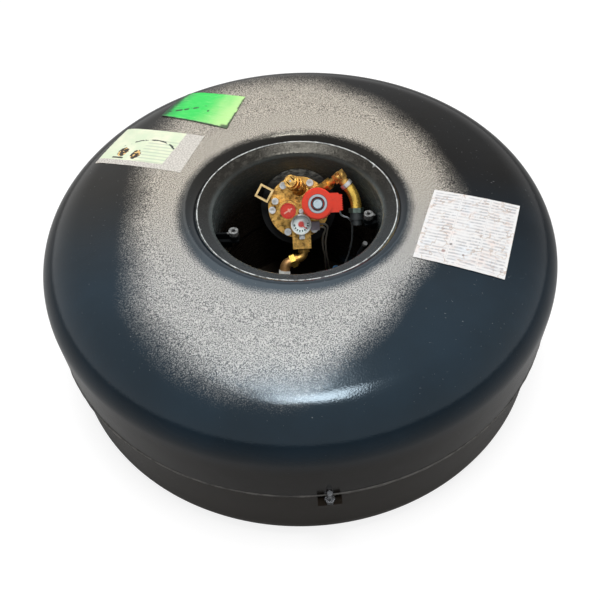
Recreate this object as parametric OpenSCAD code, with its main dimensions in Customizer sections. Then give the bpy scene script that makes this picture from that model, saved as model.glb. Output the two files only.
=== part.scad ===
// Toroidal autogas tank: two half shells round a central well, with a brass multivalve in the well.
// Origin: middle of the base, on the surface that the tank stands on. +Z is up.
// The valve sits on the +Y side of the well and looks towards -Y and up.

/* [Tank] */
// Outside diameter of the upper shell
tank_od = 630; // [600:1:760]
// Height over both shells
tank_h = 250; // [240:1:320]
// Sheet thickness of the shells and the well
wall = 3.5; // [2.5:0.1:4.5]
// Height of the girth seam above the base
seam_z = 118; // [100:1:130]
// Radius of the upper shell's domed crown
dome_r = 900; // [700:10:1500]
// Bend radius of the upper shell's outer edge
top_knuckle = 62; // [54:1:76]
// Bend radius of the lower shell's outer edge
base_knuckle = 35; // [24:1:46]
// Bend radius where the shells turn into the well
well_knuckle = 16; // [13:1:20]
// How far the lower shell reaches up inside the upper one
shell_lap = 12; // [8:1:20]

/* [Well] */
// Inside radius of the well below its collar
well_r = 103; // [99:1:109]
// Radius of the collar's outer edge
rim_r = 119.5; // [118.5:0.5:128]
// How far the collar's outer edge lies below the top of the tank
rim_drop = 10; // [7:1:12]
// Slope of the collar towards the well
collar_slope = 22; // [10:1:26]
// Bend radius from the collar into the well
throat_bend = 7; // [6:1:10]
// Height of the well floor's upper face above the base
floor_z = 38; // [30:1:42]
// Radius of the fixing bolt's hole in the well floor
bolt_hole_r = 7; // [5:0.5:9]
// Radius of each vent hole in the well floor
vent_r = 22; // [16:1:24]

/* [Valve seat] */
// Sideways offset of the valve axis
valve_x = 2.5; // [-4:0.5:4]
// Distance of the valve seat's centre from the tank axis
valve_y = 71; // [68:1:76]
// Height of the valve seat's centre below the top of the tank
valve_drop = 79; // [74:1:86]
// Slope of the valve axis above the horizontal
valve_tilt = 40; // [36:1:44]
// Outer radius of the seat ring and neck
seat_r = 50; // [49:1:52]
// Thickness of the seat ring
seat_t = 16; // [14:1:18]
// Radius of the hole through the seat ring
seat_bore_r = 28; // [27.9:0.1:29]
// Radius of the circle of flange screws
screw_circle_r = 35; // [34.8:0.1:35.4]
// Shank diameter of the flange screws
screw_d = 6; // [4:1:6]

/* [Valve body] */
// Radius of the valve flange
flange_r = 40; // [40:0.5:43]
// Thickness of the valve flange
flange_t = 12; // [10:1:14]
// Thickness of the flange gasket
gasket_t = 1.5; // [1:0.5:3]
// Outer radius of the shut-off tower
tower_r = 13; // [12:0.5:13.5]
// Radius of the red shut-off knob
knob_r = 10; // [8:0.1:10.2]
// Height of the shut-off tower above the flange
tower_h = 21; // [18:1:24]
// Radius of the relief valve's boss
relief_r = 10; // [9:0.5:10]
// Length of the relief valve above its boss
relief_len = 22; // [18:1:24]

/* [Coil] */
// Radius of the coil housing
coil_r = 20; // [17:0.5:20.5]
// Height of the coil housing
coil_h = 22; // [20:1:28]
// Height of the coil's pad above the flange
coil_pad_h = 17.5; // [16:0.5:20]

/* [Gauge] */
// Outer radius of the gauge housing
gauge_r = 13.3; // [12:0.1:13.5]
// Height of the gauge housing
gauge_h = 7; // [7:0.5:10]
// Length of the float arm
arm_len = 130; // [110:1:135]
// Radius of the float
float_r = 16; // [10:1:18]
// Length of the float
float_len = 40; // [30:1:44]

/* [Fittings] */
// Radius of the bent fill fitting
bend_r = 7; // [5.5:0.5:7.5]
// Width across flats of the outlet's union nut
union_af = 17; // [15:1:19]
// Radius of the cut supply pipe
pipe_r = 2.5; // [2:0.5:4]

/* [Brackets] */
// Height of the lid brackets' upper faces below the top of the tank
lid_drop = 50; // [44:1:60]
// Radius of a lid bracket's bush
bush_r = 6; // [5:0.5:6.5]
// How far the side lug stands out from the upper shell
lug_reach = 8.5; // [8:0.5:11]
// Diameter of the side lug's stud
stud_d = 6; // [4:1:6]

/* [Labels] */
// Thickness of the printed labels
label_t = 0.4; // [0.3:0.1:0.8]

/* [Hidden] */

gap = 0.3;         // seam between pieces that are welded or pushed together
fit = 0.05;        // radial clearance of a shaft in its bore
sink = 1;          // overlap of two shapes that make one casting
bend_lap = 0.1;    // how far a straight leg runs into the bend that follows it
bend_step = 0.02;  // how much thinner a bend is than its legs
over = 1;          // how far a cut runs past a face
round_fn = 96;
ring_fn = 180;

// Tank
tank_r = tank_od / 2;
shell_r0 = rim_r + gap;
low_r0 = well_r + wall + gap;
low_r1 = tank_r - wall - gap;
rim_z = tank_h - rim_drop;
shell_lip_z = tank_h - well_knuckle - 5;
base_lip_z = well_knuckle + 5;
crown_r = 150;
tube_foot_z = 3;
weld_leg = 3;

// Collar: the bend's centre is set so that the slope ends at the rim
bend_edge_r = well_r + throat_bend - throat_bend * sin(collar_slope);
throat_z = rim_z - (rim_r - bend_edge_r) * tan(collar_slope) - throat_bend * cos(collar_slope);

// Floor
floor_t = wall;
vent_at = [62, 31];

// Valve, in its own frame: x to the right, y up the flange, z out of the flange
valve_z = tank_h - valve_drop;
flange_top = gasket_t + flange_t;
neck_len = 100;
tail_r = seat_bore_r - 0.5;
tail_len = 28;
screw_turn = 3;
screw_angles = [for (i = [0:5]) screw_turn + 60 * i];
screw_head_r = 4.6;
screw_head_h = 6;
screw_key_af = 5;
screw_key_deep = 3;
thread_deep = 12;
tap_at = [-14, -2.8];
tap_recess = 6;
stem_r = 3;
plug_at = [-30.4, 9.8];
plug_boss_r = 5.5;
plug_boss_h = 8;
plug_head_r = 4.4;
plug_head_h = 3;
plug_r = 3;
plug_len = 5;
plug_key_af = 3.4;
loop_at = [-44, 21];
loop_size = [19, 18.5];
loop_strip = 2.6;
loop_deep = 9;
loop_turn = -31;
relief_at = [2, 24];
relief_tilt = 28;
relief_turn = 135;
relief_boss_len = 14;
relief_root = 3.5;
relief_bore_r = 5;
relief_bore_foot = 5;
coil_at = [24, 5.3];
coil_z = flange_top + coil_pad_h;
coil_pad_r = 6.5;
core_r = 5;
core_bore_r = 3.5;
core_thread_r = 3.9;
core_foot = 8;
spout_w = 24;
spout_end = 31;
gauge_at = [1.9, -21.4];
gauge_pad_r = 12;
gauge_z = 24;
gauge_ear_at = [3, -4.5];
gauge_tab_at = [2.4, -38.5];
gauge_screw_r = 1.5;
gauge_screw_deep = 7;
gauge_ear_r = 3.2;
shaft_top = 6;
plug_block = [12, 11, 10];
plug_block_y = -24.3;
needle_turn = -42;
outlet_at = [4, -54];
outlet_w = 24;
outlet_z = 13;
outlet_top = gauge_z;
outlet_tube_r = 5.5;
outlet_socket = 14;
tube_socket = 10;
inlet_at = [28, 20.5, 17];
inlet_tilt = 54;
inlet_turn = 34;
inlet_boss_r = 7;
inlet_boss_len = 14;
inlet_root = 8;
inlet_bore_r = 3.5;
inlet_run = 38;
shaft_r = 1.5;
gauge_tube_r = 5;
gauge_tube_end = 126;
arm_z = -131;
arm_r = 1.5;
arm_hub_r = 5;
arm_turn = 200;
pickup_at = [14, 9];
pickup_r = 4;
pickup_run = 34;
filter_h = 22;

// ---------- shared shapes ----------

module on_valve() {
  translate([valve_x, valve_y, valve_z]) rotate([90 - valve_tilt, 0, 0]) children();
}

module on_relief() {
  translate([relief_at[0], relief_at[1], flange_top - relief_root])
    rotate([0, relief_tilt, relief_turn]) children();
}

module on_inlet() {
  translate(inlet_at) rotate([0, inlet_tilt, inlet_turn]) children();
}

module at2(p, z = 0) {
  translate([p[0], p[1], z]) children();
}

module rod(r, h, z = 0) {
  translate([0, 0, z]) cylinder(r = r, h = h, $fn = round_fn);
}

module ring(r_out, r_in, h, z = 0) {
  difference() {
    rod(r_out, h, z);
    rod(r_in, h + 2 * over, z - over);
  }
}

module hex(af, h, z = 0) {
  translate([0, 0, z]) cylinder(r = af / 2 / cos(30), h = h, $fn = 6);
}

// Quarter disc whose round side looks towards +x and +y
module quarter(r) {
  intersection() {
    circle(r = r, $fn = ring_fn);
    square(r);
  }
}

// Half of the tank's ring section: open below, rounded at its inner and outer upper corners.
// The top is flat up to a place at the radius flat_r, and falls on a dome from there to the
// outer corner; the two arcs share one tangent where the line tip runs through both centres.
module half_section(r0, r1, h, k_in, k_out, flat_r, dome) {
  corner_r = r1 - k_out;
  corner_z = h - dome + sqrt(pow(dome - k_out, 2) - pow(corner_r - flat_r, 2));
  dome_at = [flat_r, h - dome];
  tip = unit([corner_r, corner_z] - dome_at);
  translate([r0, 0]) square([k_in, h - k_in]);
  translate([r0 + k_in, h - k_in]) mirror([1, 0]) quarter(k_in);
  translate([r0 + k_in, 0]) square([flat_r - r0 - k_in, h]);
  if (corner_r - flat_r > over) intersection() {
    translate(dome_at) circle(r = dome, $fn = ring_fn);
    polygon([[flat_r, 0], [flat_r, h + k_out], dome_at + (dome + k_out) * tip,
      [corner_r, corner_z], [corner_r, 0]]);
  }
  intersection() {
    translate([corner_r, corner_z]) circle(r = k_out, $fn = ring_fn);
    polygon([[corner_r, corner_z], dome_at + (dome + k_out) * tip,
      [r1 + over, corner_z + 2 * k_out], [r1 + over, corner_z]]);
  }
  translate([corner_r, 0]) square([k_out, corner_z]);
}

// Sheet of the half section, with its inner lip cut back to lip_h
module half_shell(r0, r1, h, k_in, k_out, flat_r, lip_h) {
  difference() {
    half_section(r0, r1, h, k_in, k_out, flat_r, dome_r);
    translate([0, -over])
      half_section(r0 + wall, r1 - wall, h - wall + over, k_in - wall, k_out - wall, flat_r, dome_r - wall);
    translate([0, -over]) square([r0 + wall, lip_h + over]);
  }
}

function arc2(c, r, a0, a1, n) = [for (i = [0:n]) let (a = a0 + (a1 - a0) * i / n)
  [c[0] + r * cos(a), c[1] + r * sin(a)]];

// Cylinder from point a to point b
module strut(a, b, r) {
  d = b - a;
  len = norm(d);
  translate(a) rotate([0, acos(d[2] / len), atan2(d[1], d[0])]) cylinder(r = r, h = len, $fn = round_fn);
}

// Directions and bends of a path that is made of straight legs
function unit(v) = v / norm(v);
function leg(path, i) = unit(path[i + 1] - path[i]);
function turn_at(path, i) = acos(leg(path, i - 1) * leg(path, i));
function tangent_at(path, i, bend) = (i == 0 || i == len(path) - 1) ? 0 : bend * tan(turn_at(path, i) / 2);

// Round bar along straight legs, with a bend of the given radius at each inner point
module bent_bar(path, r, bend) {
  last = len(path) - 1;
  for (i = [0:last - 1]) {
    d = leg(path, i);
    head_lap = i == 0 ? 0 : bend_lap;
    tail_lap = i == last - 1 ? 0 : bend_lap;
    from = path[i] + (tangent_at(path, i, bend) - head_lap) * d;
    to = path[i + 1] - (tangent_at(path, i + 1, bend) - tail_lap) * d;
    strut(from, to, r);
  }
  for (i = [1:last - 1]) {
    along_leg = leg(path, i - 1);
    start = path[i] - tangent_at(path, i, bend) * along_leg;
    inward = unit(leg(path, i) - (leg(path, i) * along_leg) * along_leg);
    x = -inward;
    z = cross(x, along_leg);
    centre = start + bend * inward;
    multmatrix([
      [x[0], along_leg[0], z[0], centre[0]],
      [x[1], along_leg[1], z[1], centre[1]],
      [x[2], along_leg[2], z[2], centre[2]]])
      rotate_extrude(angle = turn_at(path, i), $fn = round_fn) translate([bend, 0])
        circle(r = r - bend_step, $fn = 48);
  }
}

// Soft tube swept through the points of a path; each ring stands square to the path there
function heading(p, i) = unit(p[min(i + 1, len(p) - 1)] - p[max(i - 1, 0)]);
function side_of(t) = unit(cross(t, abs(t[0]) < 0.9 ? [1, 0, 0] : [0, 1, 0]));

module soft_tube(path, r, sides = 8) {
  rings = [for (i = [0:len(path) - 1]) let (t = heading(path, i), u = side_of(t), v = cross(t, u))
    for (k = [0:sides - 1]) let (a = 360 * k / sides) path[i] + r * (cos(a) * u + sin(a) * v)];
  last = (len(path) - 1) * sides;
  walls = [for (i = [0:len(path) - 2]) for (k = [0:sides - 1]) let (n = (k + 1) % sides)
    [i * sides + k, (i + 1) * sides + k, (i + 1) * sides + n, i * sides + n]];
  ends = [[for (k = [0:sides - 1]) k], [for (k = [sides - 1:-1:0]) last + k]];
  polyhedron(points = rings, faces = concat(walls, ends), convexity = 6);
}

// Helical spring standing on z = 0
module spring(r, wire, h, turns, steps = 14) {
  n = turns * steps;
  path = [for (i = [0:n]) let (a = 360 * i / steps)
    [r * cos(a), r * sin(a), wire + (h - 2 * wire) * i / n]];
  soft_tube(path, wire, 6);
}

// ---------- shell ----------

module upper_shell() color("#23282d") {
  translate([0, 0, seam_z]) rotate_extrude($fn = ring_fn)
    half_shell(shell_r0, tank_r, tank_h - seam_z, well_knuckle, top_knuckle, crown_r, shell_lip_z - seam_z);
}

module lower_shell() color("#1d2226") {
  top_z = seam_z + shell_lap;
  translate([0, 0, top_z]) rotate_extrude($fn = ring_fn) mirror([0, 1])
    half_shell(low_r0, low_r1, top_z, well_knuckle, base_knuckle, low_r1 - base_knuckle, top_z - base_lip_z);
}

// Fillet bead under the edge of the upper shell
module girth_weld() color("#30363b") {
  rotate_extrude($fn = ring_fn) polygon([
    [low_r1 + fit, seam_z - fit],
    [tank_r - 0.5, seam_z - fit],
    [low_r1 + fit, seam_z - fit - weld_leg]]);
}

module well_tube() color("#1b1f23") difference() {
  rotate_extrude($fn = ring_fn) polygon(concat(
    arc2([well_r + throat_bend, throat_z], throat_bend, 180, 90 + collar_slope, 8),
    [[rim_r, rim_z], [rim_r, rim_z - wall / cos(collar_slope)]],
    arc2([well_r + throat_bend, throat_z], throat_bend - wall, 90 + collar_slope, 180, 8),
    [[well_r + wall, tube_foot_z], [well_r, tube_foot_z]]));
  on_valve() rod(seat_r + gap, neck_len + 20, -neck_len);
}

// Bead in the groove between the collar's edge and the upper shell
module rim_weld() color("#d9dcdc") rotate_extrude($fn = ring_fn) difference() {
  translate([rim_r + 0.7, rim_z + 0.2]) circle(r = 1.4, $fn = 32);
  square([rim_r + fit, rim_z + fit]);
  translate([shell_r0 + well_knuckle, tank_h - well_knuckle]) circle(r = well_knuckle + fit, $fn = ring_fn);
}

module well_floor() color("#15181b") difference() {
  rod(well_r - fit, floor_t, floor_z - floor_t);
  rod(bolt_hole_r, floor_t + 2 * over, floor_z - floor_t - over);
  for (s = [-1, 1]) at2([s * vent_at[0], vent_at[1]])
    rod(vent_r, floor_t + 2 * over, floor_z - floor_t - over);
}

// Seat ring and its pipe, which is trimmed to the outside of the well tube
module valve_neck() color("#3a3f44") union() {
  on_valve() difference() {
    rod(seat_r, seat_t, -seat_t);
    rod(seat_bore_r, seat_t + 2 * over, -seat_t - over);
    for (a = screw_angles) rotate(a) at2([screw_circle_r, 0])
      rod(screw_d / 2 + fit, thread_deep + over, -thread_deep);
  }
  intersection() {
    on_valve() ring(seat_r, seat_r - 1.5 * wall, neck_len - seat_t + fit, -neck_len);
    rod(well_r + wall, tank_h);
  }
}

// ---------- brackets ----------

lid_thread_r = 2.5;
bush_h = 16;
arm_t = 3;
rib_h = 24;
rib_drop = 12;

// Threaded bush on a short arm that is welded to the well; at is the bush's middle
module lid_bracket(at) {
  turn = atan2(at[1], at[0]);
  out = norm(at);
  foot = tank_h - lid_drop - bush_h;
  difference() {
    union() {
      at2(at) rod(bush_r, bush_h, foot);
      intersection() {
        rotate(turn) union() {
          translate([out - bush_r, -bush_r, foot]) cube([well_r - out + bush_r, 2 * bush_r, arm_t]);
          translate([out + lid_thread_r + 1, -arm_t / 2, foot - rib_drop]) cube([well_r - out, arm_t, rib_h]);
        }
        rod(well_r - fit, tank_h);
      }
    }
    at2(at) rod(lid_thread_r, bush_h + 2 * over, foot - over);
  }
}

left_bush_at = [-80.5, 3];
right_bush_at = [90, 21];

module left_lid_bracket() color("#b9bcbc") lid_bracket(left_bush_at);

module right_lid_bracket() color("#b9bcbc") lid_bracket(right_bush_at);

// Tab below the girth seam, with an upright stud and its nut
lug_x = 19;
lug_w = 26;
lug_t = 4;
lug_root = 40;
stud_len = 24;
stud_tail = 2;
nut_h = 5;
lug_top = seam_z - weld_leg - nut_h - 1;
lug_y = -sqrt(pow(tank_r + lug_reach, 2) - pow(lug_x, 2));
stud_y = -sqrt(pow(tank_r + gap + stud_d / 2, 2) - pow(lug_x, 2));

module side_lug() color("#2a2f33") difference() {
  intersection() {
    translate([lug_x - lug_w / 2, lug_y - lug_w / 2, lug_top - lug_t])
      cube([lug_w, lug_root + lug_w / 2, lug_t]);
    rod(tank_r + lug_reach, tank_h);
  }
  rod(low_r1 + fit, tank_h);
  translate([lug_x, stud_y, 0]) rod(stud_d / 2 + fit, tank_h);
}

module lug_stud() color("#cfd2d4") translate([lug_x, stud_y, 0])
  rod(stud_d / 2, stud_len, lug_top - lug_t - stud_tail);

module lug_nut() color("#8d9295") translate([lug_x, stud_y, 0]) difference() {
  hex(5 / 3 * stud_d, nut_h, lug_top);
  rod(stud_d / 2 + fit, nut_h + 2 * over, lug_top - over);
}

// ---------- labels ----------

// Skin over the upper shell, cut to an outline seen from above
module label_skin(outline) {
  lift = 2 * fit;
  intersection() {
    translate([0, 0, seam_z]) rotate_extrude($fn = ring_fn) difference() {
      half_section(shell_r0 - lift, tank_r + lift + label_t, tank_h - seam_z + lift + label_t,
        well_knuckle + lift, top_knuckle + lift + label_t, crown_r, dome_r + lift + label_t);
      half_section(shell_r0 - over, tank_r + lift, tank_h - seam_z + lift, well_knuckle, top_knuckle + lift,
        crown_r, dome_r + lift);
    }
    translate([0, 0, tank_h - top_knuckle]) linear_extrude(top_knuckle + over) polygon(outline);
  }
}

module data_label() color("#ece9e2") label_skin([[166, 6], [263, -22], [222, -131], [127, -97]]);

module green_label() color("#35d860") label_skin([[-175, 189], [-143, 243], [-62, 215], [-85, 146]]);

module approval_label() color("#c9dcc4") label_skin([[-252, 106], [-222, 166], [-136, 136], [-161, 75]]);

// ---------- valve ----------

module flange_gasket() color("#202020") on_valve() difference() {
  ring(flange_r - 1, seat_bore_r, gasket_t);
  for (a = screw_angles) rotate(a) at2([screw_circle_r, 0])
    rod(screw_d / 2 + gap, gasket_t + 2 * over, -over);
}

module outlet_block() {
  back_y = gauge_at[1] - 6;
  translate([gauge_at[0] - outlet_w / 2, outlet_at[1], gasket_t + 1])
    cube([outlet_w, back_y - outlet_at[1], outlet_top - gasket_t - 1]);
}

module valve_body() color("#c9a050") on_valve() difference() {
  union() {
    rod(flange_r, flange_t, gasket_t);
    rod(tail_r, tail_len + gasket_t + sink, -tail_len);
    at2(tap_at) rod(tower_r, tower_h + sink, flange_top - sink);
    at2(coil_at) rod(coil_pad_r, coil_pad_h + sink, flange_top - sink);
    at2(gauge_at) rod(gauge_pad_r, gauge_z - flange_top + sink, flange_top - sink);
    at2(gauge_ear_at) rod(gauge_ear_r, gauge_z - flange_top + sink, flange_top - sink);
    at2(plug_at) rod(plug_boss_r, plug_boss_h + sink, flange_top - sink);
    on_relief() rod(relief_r, relief_boss_len);
    on_inlet() rod(inlet_boss_r, inlet_boss_len + inlet_root, -inlet_root);
    outlet_block();
  }
  for (a = screw_angles) rotate(a) at2([screw_circle_r, 0])
    rod(screw_d / 2 + gap, flange_t + 2 * over, gasket_t - over);
  at2(gauge_at) rod(gauge_r + gap, tower_h, gauge_z);
  on_valve_bores();
}

// Bores and threads in the valve body
module on_valve_bores() {
  at2(tap_at) rod(knob_r + gap, tap_recess + over, flange_top + tower_h - tap_recess);
  at2(tap_at) rod(stem_r + fit, tower_h + thread_deep, flange_top - thread_deep + 2);
  at2(coil_at) rod(core_r + fit, core_foot + 2 * over, coil_z - core_foot - over);
  at2(gauge_at) rod(shaft_r + fit, gauge_z + tail_len + over, -tail_len - over);
  for (p = [gauge_ear_at, gauge_tab_at])
    at2(p) rod(gauge_screw_r + fit, gauge_screw_deep + 2 * over, gauge_z - gauge_screw_deep - over);
  at2(plug_at) rod(plug_r + fit, plug_len + 2 * over, flange_top + plug_boss_h - plug_len - over);
  on_relief() rod(relief_bore_r, relief_boss_len, relief_bore_foot);
  on_inlet() rod(inlet_bore_r, inlet_boss_len + over, 0);
  translate([outlet_at[0], outlet_at[1] - over, outlet_z]) rotate([-90, 0, 0])
    rod(outlet_tube_r + fit, outlet_socket + over);
  at2(pickup_at) rod(pickup_r + fit, tube_socket + 2 * over, -tail_len - over);
  at2(gauge_at) rod(gauge_tube_r + fit, tube_socket + over, -tail_len - over);
}

module flange_screws() color("#d6d8da") on_valve() for (a = screw_angles) rotate(a) at2([screw_circle_r, 0])
  difference() {
    union() {
      rod(screw_d / 2, flange_top + thread_deep - gap, -thread_deep + gap);
      rod(screw_head_r, screw_head_h, flange_top);
    }
    hex(screw_key_af, screw_head_h, flange_top + screw_head_h - screw_key_deep);
  }

module port_plug() color("#d8d8d4") on_valve() at2(plug_at) difference() {
  union() {
    rod(plug_head_r, plug_head_h, flange_top + plug_boss_h);
    rod(plug_r, plug_len, flange_top + plug_boss_h - plug_len);
  }
  hex(plug_key_af, plug_head_h + plug_len, flange_top + plug_boss_h - screw_key_deep);
}

// Square strap on the edge of the flange
module loop_bracket() color("#d8bd86") on_valve() at2(loop_at, flange_top) rotate(loop_turn)
  linear_extrude(loop_deep) difference() {
    square(loop_size, center = true);
    square([loop_size[0] - 2 * loop_strip, loop_size[1] - 2 * loop_strip], center = true);
  }

relief_af = 19;
relief_hex_h = 5;
relief_neck_len = relief_len - 8;
relief_cap_r = 8.3;
relief_top = relief_len - 2;
relief_seat = 8;
relief_roof = 1.5;
poppet_t = 3;
poppet_stem_r = 1.4;
relief_slot = [7, 1.6];
relief_slot_at = 4;
spring_wire_r = 0.5;

// Body with a slotted roof, through which the poppet's stem is guided
module relief_body() color("#c29a4a") on_valve() on_relief() translate([0, 0, relief_boss_len]) difference() {
  union() {
    hex(relief_af, relief_hex_h);
    rod(relief_r - 2 * gap, relief_neck_len);
    rod(relief_cap_r, relief_top);
  }
  rod(relief_bore_r - 1, relief_seat + 2 * over, -over);
  rod(relief_bore_r, relief_top - relief_roof - relief_seat, relief_seat);
  rod(poppet_stem_r + fit, relief_len);
  for (s = [-1, 1])
    translate([-relief_slot[0] / 2, s * relief_slot_at - relief_slot[1] / 2, relief_top - relief_roof - over])
      cube([relief_slot[0], relief_slot[1], relief_roof + 2 * over]);
}

poppet_at = relief_boss_len + relief_seat + fit;
roof_z = relief_boss_len + relief_top - relief_roof;

module relief_poppet() color("#d7d7d2") on_valve() on_relief() union() {
  rod(relief_bore_r - fit, poppet_t, poppet_at);
  rod(poppet_stem_r, roof_z + 1 - poppet_at, poppet_at);
}

module relief_spring() color("#9aa0a4") on_valve() on_relief() translate([0, 0, poppet_at + poppet_t + fit])
  spring(3.2, spring_wire_r, roof_z - poppet_at - poppet_t - 2 * fit, 3);

// Screw-down stem inside the shut-off tower, pressed into the knob
stem_foot = flange_top - 8;
knob_z = flange_top + tower_h - tap_recess + gap;
knob_h = 9;
socket_deep = 2.3;
groove_t = 1;

module tap_stem() color("#bfc3c5") on_valve() at2(tap_at)
  rod(stem_r, knob_z + socket_deep - gap - stem_foot, stem_foot);

// Red knob with a raised arrow, held in the tower's recess
mark_turn = 30;
mark_len = 12;
mark_w = 1.8;
mark_t = 0.8;

module tap_knob() color("#d8352a") on_valve() at2(tap_at, knob_z) union() {
  difference() {
    rod(knob_r, knob_h);
    rod(stem_r + fit, socket_deep + over, -over);
    ring(knob_r - groove_t, knob_r - 2 * groove_t, groove_t + over, knob_h - groove_t);
  }
  rotate(mark_turn) translate([0, 0, knob_h - fit]) {
    translate([-mark_len / 2, -mark_w / 2, 0]) cube([mark_len, mark_w, mark_t]);
    for (s = [-1, 1]) translate([mark_len / 4, 0, 0]) rotate(135 * s)
      translate([-mark_w / 2, -mark_w / 2, 0]) cube([mark_len / 3, mark_w, mark_t]);
  }
}

// ---------- coil ----------

core_top = coil_h - 4;
core_roof = 3;
plunger_foot = -6;
plunger_top = 6;
coil_skin = 4;
coil_floor = 3;
winding_h = coil_h - 9;
washer_r = 12.3;
washer_t = 2.4;
washer_deep = 3;
coil_nut_r = 7.2;
coil_nut_h = 5.5;
spout_step = 6;
rib_pitch = 3;
rib_t = 1.2;

module coil_core_tube() color("#c9ccce") on_valve() at2(coil_at, coil_z) difference() {
  union() {
    rod(core_r, core_foot + core_top, -core_foot);
    rod(core_thread_r, coil_h + 1, 0);
  }
  rod(core_bore_r, core_foot + core_top - core_roof + over, -core_foot - over);
}

module coil_plunger() color("#aeb2b5") on_valve() at2(coil_at, coil_z)
  rod(core_bore_r - fit, plunger_top - plunger_foot, plunger_foot);

module plunger_spring() color("#9aa0a4") on_valve() at2(coil_at, coil_z + plunger_top + fit)
  spring(2.6, spring_wire_r, core_top - core_roof - plunger_top - 4 * fit, 5);

module coil_winding() color("#b06a35") on_valve() at2(coil_at, coil_z)
  ring(coil_r - coil_skin - gap, core_r + coil_floor + gap, winding_h - 2 * gap, coil_floor + gap);

module coil_body() color("#e23b2c") on_valve() at2(coil_at, coil_z) difference() {
  union() {
    rod(coil_r, coil_h - 2);
    rod(coil_r - 1.5, coil_h);
    translate([coil_r - spout_step, -spout_w / 2, 2]) cube([spout_end - coil_r + 2, spout_w, coil_h - 5]);
    translate([spout_end - spout_step, -spout_w / 2 + 2, 0]) cube([spout_step, spout_w - 4, coil_h - 4]);
    for (i = [-3:3]) translate([spout_end, i * rib_pitch - rib_t / 2, 1]) cube([1, rib_t, coil_h - 6]);
  }
  rod(core_r + fit, coil_h + 2 * over, -over);
  rod(washer_r + fit, washer_deep + over, coil_h - washer_deep);
  ring(coil_r - coil_skin, core_r + coil_floor, winding_h, coil_floor);
}

module coil_washer() color("#d5d8da") on_valve() at2(coil_at, coil_z)
  ring(washer_r, coil_nut_r + 1.2, washer_t, coil_h - washer_deep);

module coil_nut() color("#dfe3e0") on_valve() at2(coil_at, coil_z) difference() {
  rod(coil_nut_r, coil_nut_h, coil_h - washer_deep);
  rod(core_thread_r + fit, 5, coil_h - 4);
}

// ---------- gauge ----------

dial_z = 1.5;
needle_z = dial_z + 1.2;
lens_z = gauge_h - 2.6;
lens_t = 1.4;
dial_t = 0.6;
housing_wall = 1.8;
tab_t = 3;
tab_w = 7;
ear_t = 2;
ear_w = 4;
pin_r = 0.6;
pin_foot = 0.6;
hub_r = 3.4;
needle_len = 9.5;

module gauge_housing() color("#e3e6e2") on_valve() at2([0, 0], gauge_z) difference() {
  union() {
    at2(gauge_at) rod(gauge_r, gauge_h);
    translate([gauge_tab_at[0] - tab_w / 2, gauge_tab_at[1] - 2.5, 0])
      cube([tab_w, gauge_at[1] - gauge_tab_at[1] - 8, tab_t]);
    at2(gauge_ear_at) rod(gauge_ear_r - 0.1, ear_t);
    translate([gauge_ear_at[0] - ear_w / 2, gauge_at[1] + 10, 0])
      cube([ear_w, gauge_ear_at[1] - gauge_at[1] - 11, ear_t]);
  }
  at2(gauge_at) rod(gauge_r - housing_wall, gauge_h, dial_z);
  at2(gauge_at) rod(pin_r + fit, 3, pin_foot - 2 * fit);
  for (p = [gauge_ear_at, gauge_tab_at]) at2(p) rod(gauge_screw_r + gap, tab_t + 2 * over, -over);
}

module gauge_dial() color("#bfe3dd") on_valve() at2(gauge_at, gauge_z + dial_z)
  ring(gauge_r - housing_wall - fit, pin_r + fit, dial_t);

module gauge_needle() color("#e0483f") on_valve() at2(gauge_at, gauge_z) rotate(needle_turn) union() {
  rod(hub_r, 1, needle_z);
  rod(pin_r, needle_z, pin_foot);
  translate([0, 0, needle_z]) linear_extrude(dial_t)
    polygon([[0, -1.1], [needle_len, -0.3], [needle_len, 0.3], [0, 1.1]]);
}

module gauge_lens() color("#dfeef0", 0.35) on_valve() at2(gauge_at, gauge_z)
  rod(gauge_r - housing_wall - fit, lens_t, lens_z);

module gauge_screws() color("#d6d8da") on_valve() for (p = [[gauge_ear_at, ear_t], [gauge_tab_at, tab_t]])
  at2(p[0], gauge_z) union() {
    rod(2.5, 2, p[1]);
    rod(gauge_screw_r, gauge_screw_deep + p[1], -gauge_screw_deep);
  }

module sensor_plug() color("#9a929c") on_valve() difference() {
  translate([gauge_at[0] + gauge_r - 1.2, plug_block_y - plug_block[1] / 2, gauge_z - 2]) cube(plug_block);
  at2(gauge_at) rod(gauge_r + gap, gauge_z + 2 * plug_block[2]);
}

// Tube that carries the float's shaft through the neck into the chamber
module gauge_tube() color("#b8bcbf") on_valve() at2(gauge_at) difference() {
  rod(gauge_tube_r, gauge_tube_end - tail_len + tube_socket, -gauge_tube_end);
  rod(shaft_r + fit, gauge_tube_end, -gauge_tube_end - over);
}

// Shaft, hub and arm in one
module float_arm() color("#c4c8ca") on_valve() at2(gauge_at) union() {
  rod(shaft_r, -arm_z + gauge_z - shaft_top, arm_z);
  rod(arm_hub_r, 2 * arm_r + 2, arm_z - arm_r - 1);
  rotate(arm_turn) translate([0, 0, arm_z]) rotate([0, 90, 0])
    rod(arm_r, arm_len - float_r + 4 - arm_hub_r / 2, arm_hub_r / 2);
}

module float() color("#e8e4da") on_valve() at2(gauge_at) rotate(arm_turn) difference() {
  translate([arm_len, 0, arm_z]) rod(float_r, float_len, -float_len / 2);
  translate([0, 0, arm_z]) rotate([0, 90, 0]) rod(arm_r + fit, arm_len - float_r + 5);
}

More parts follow.
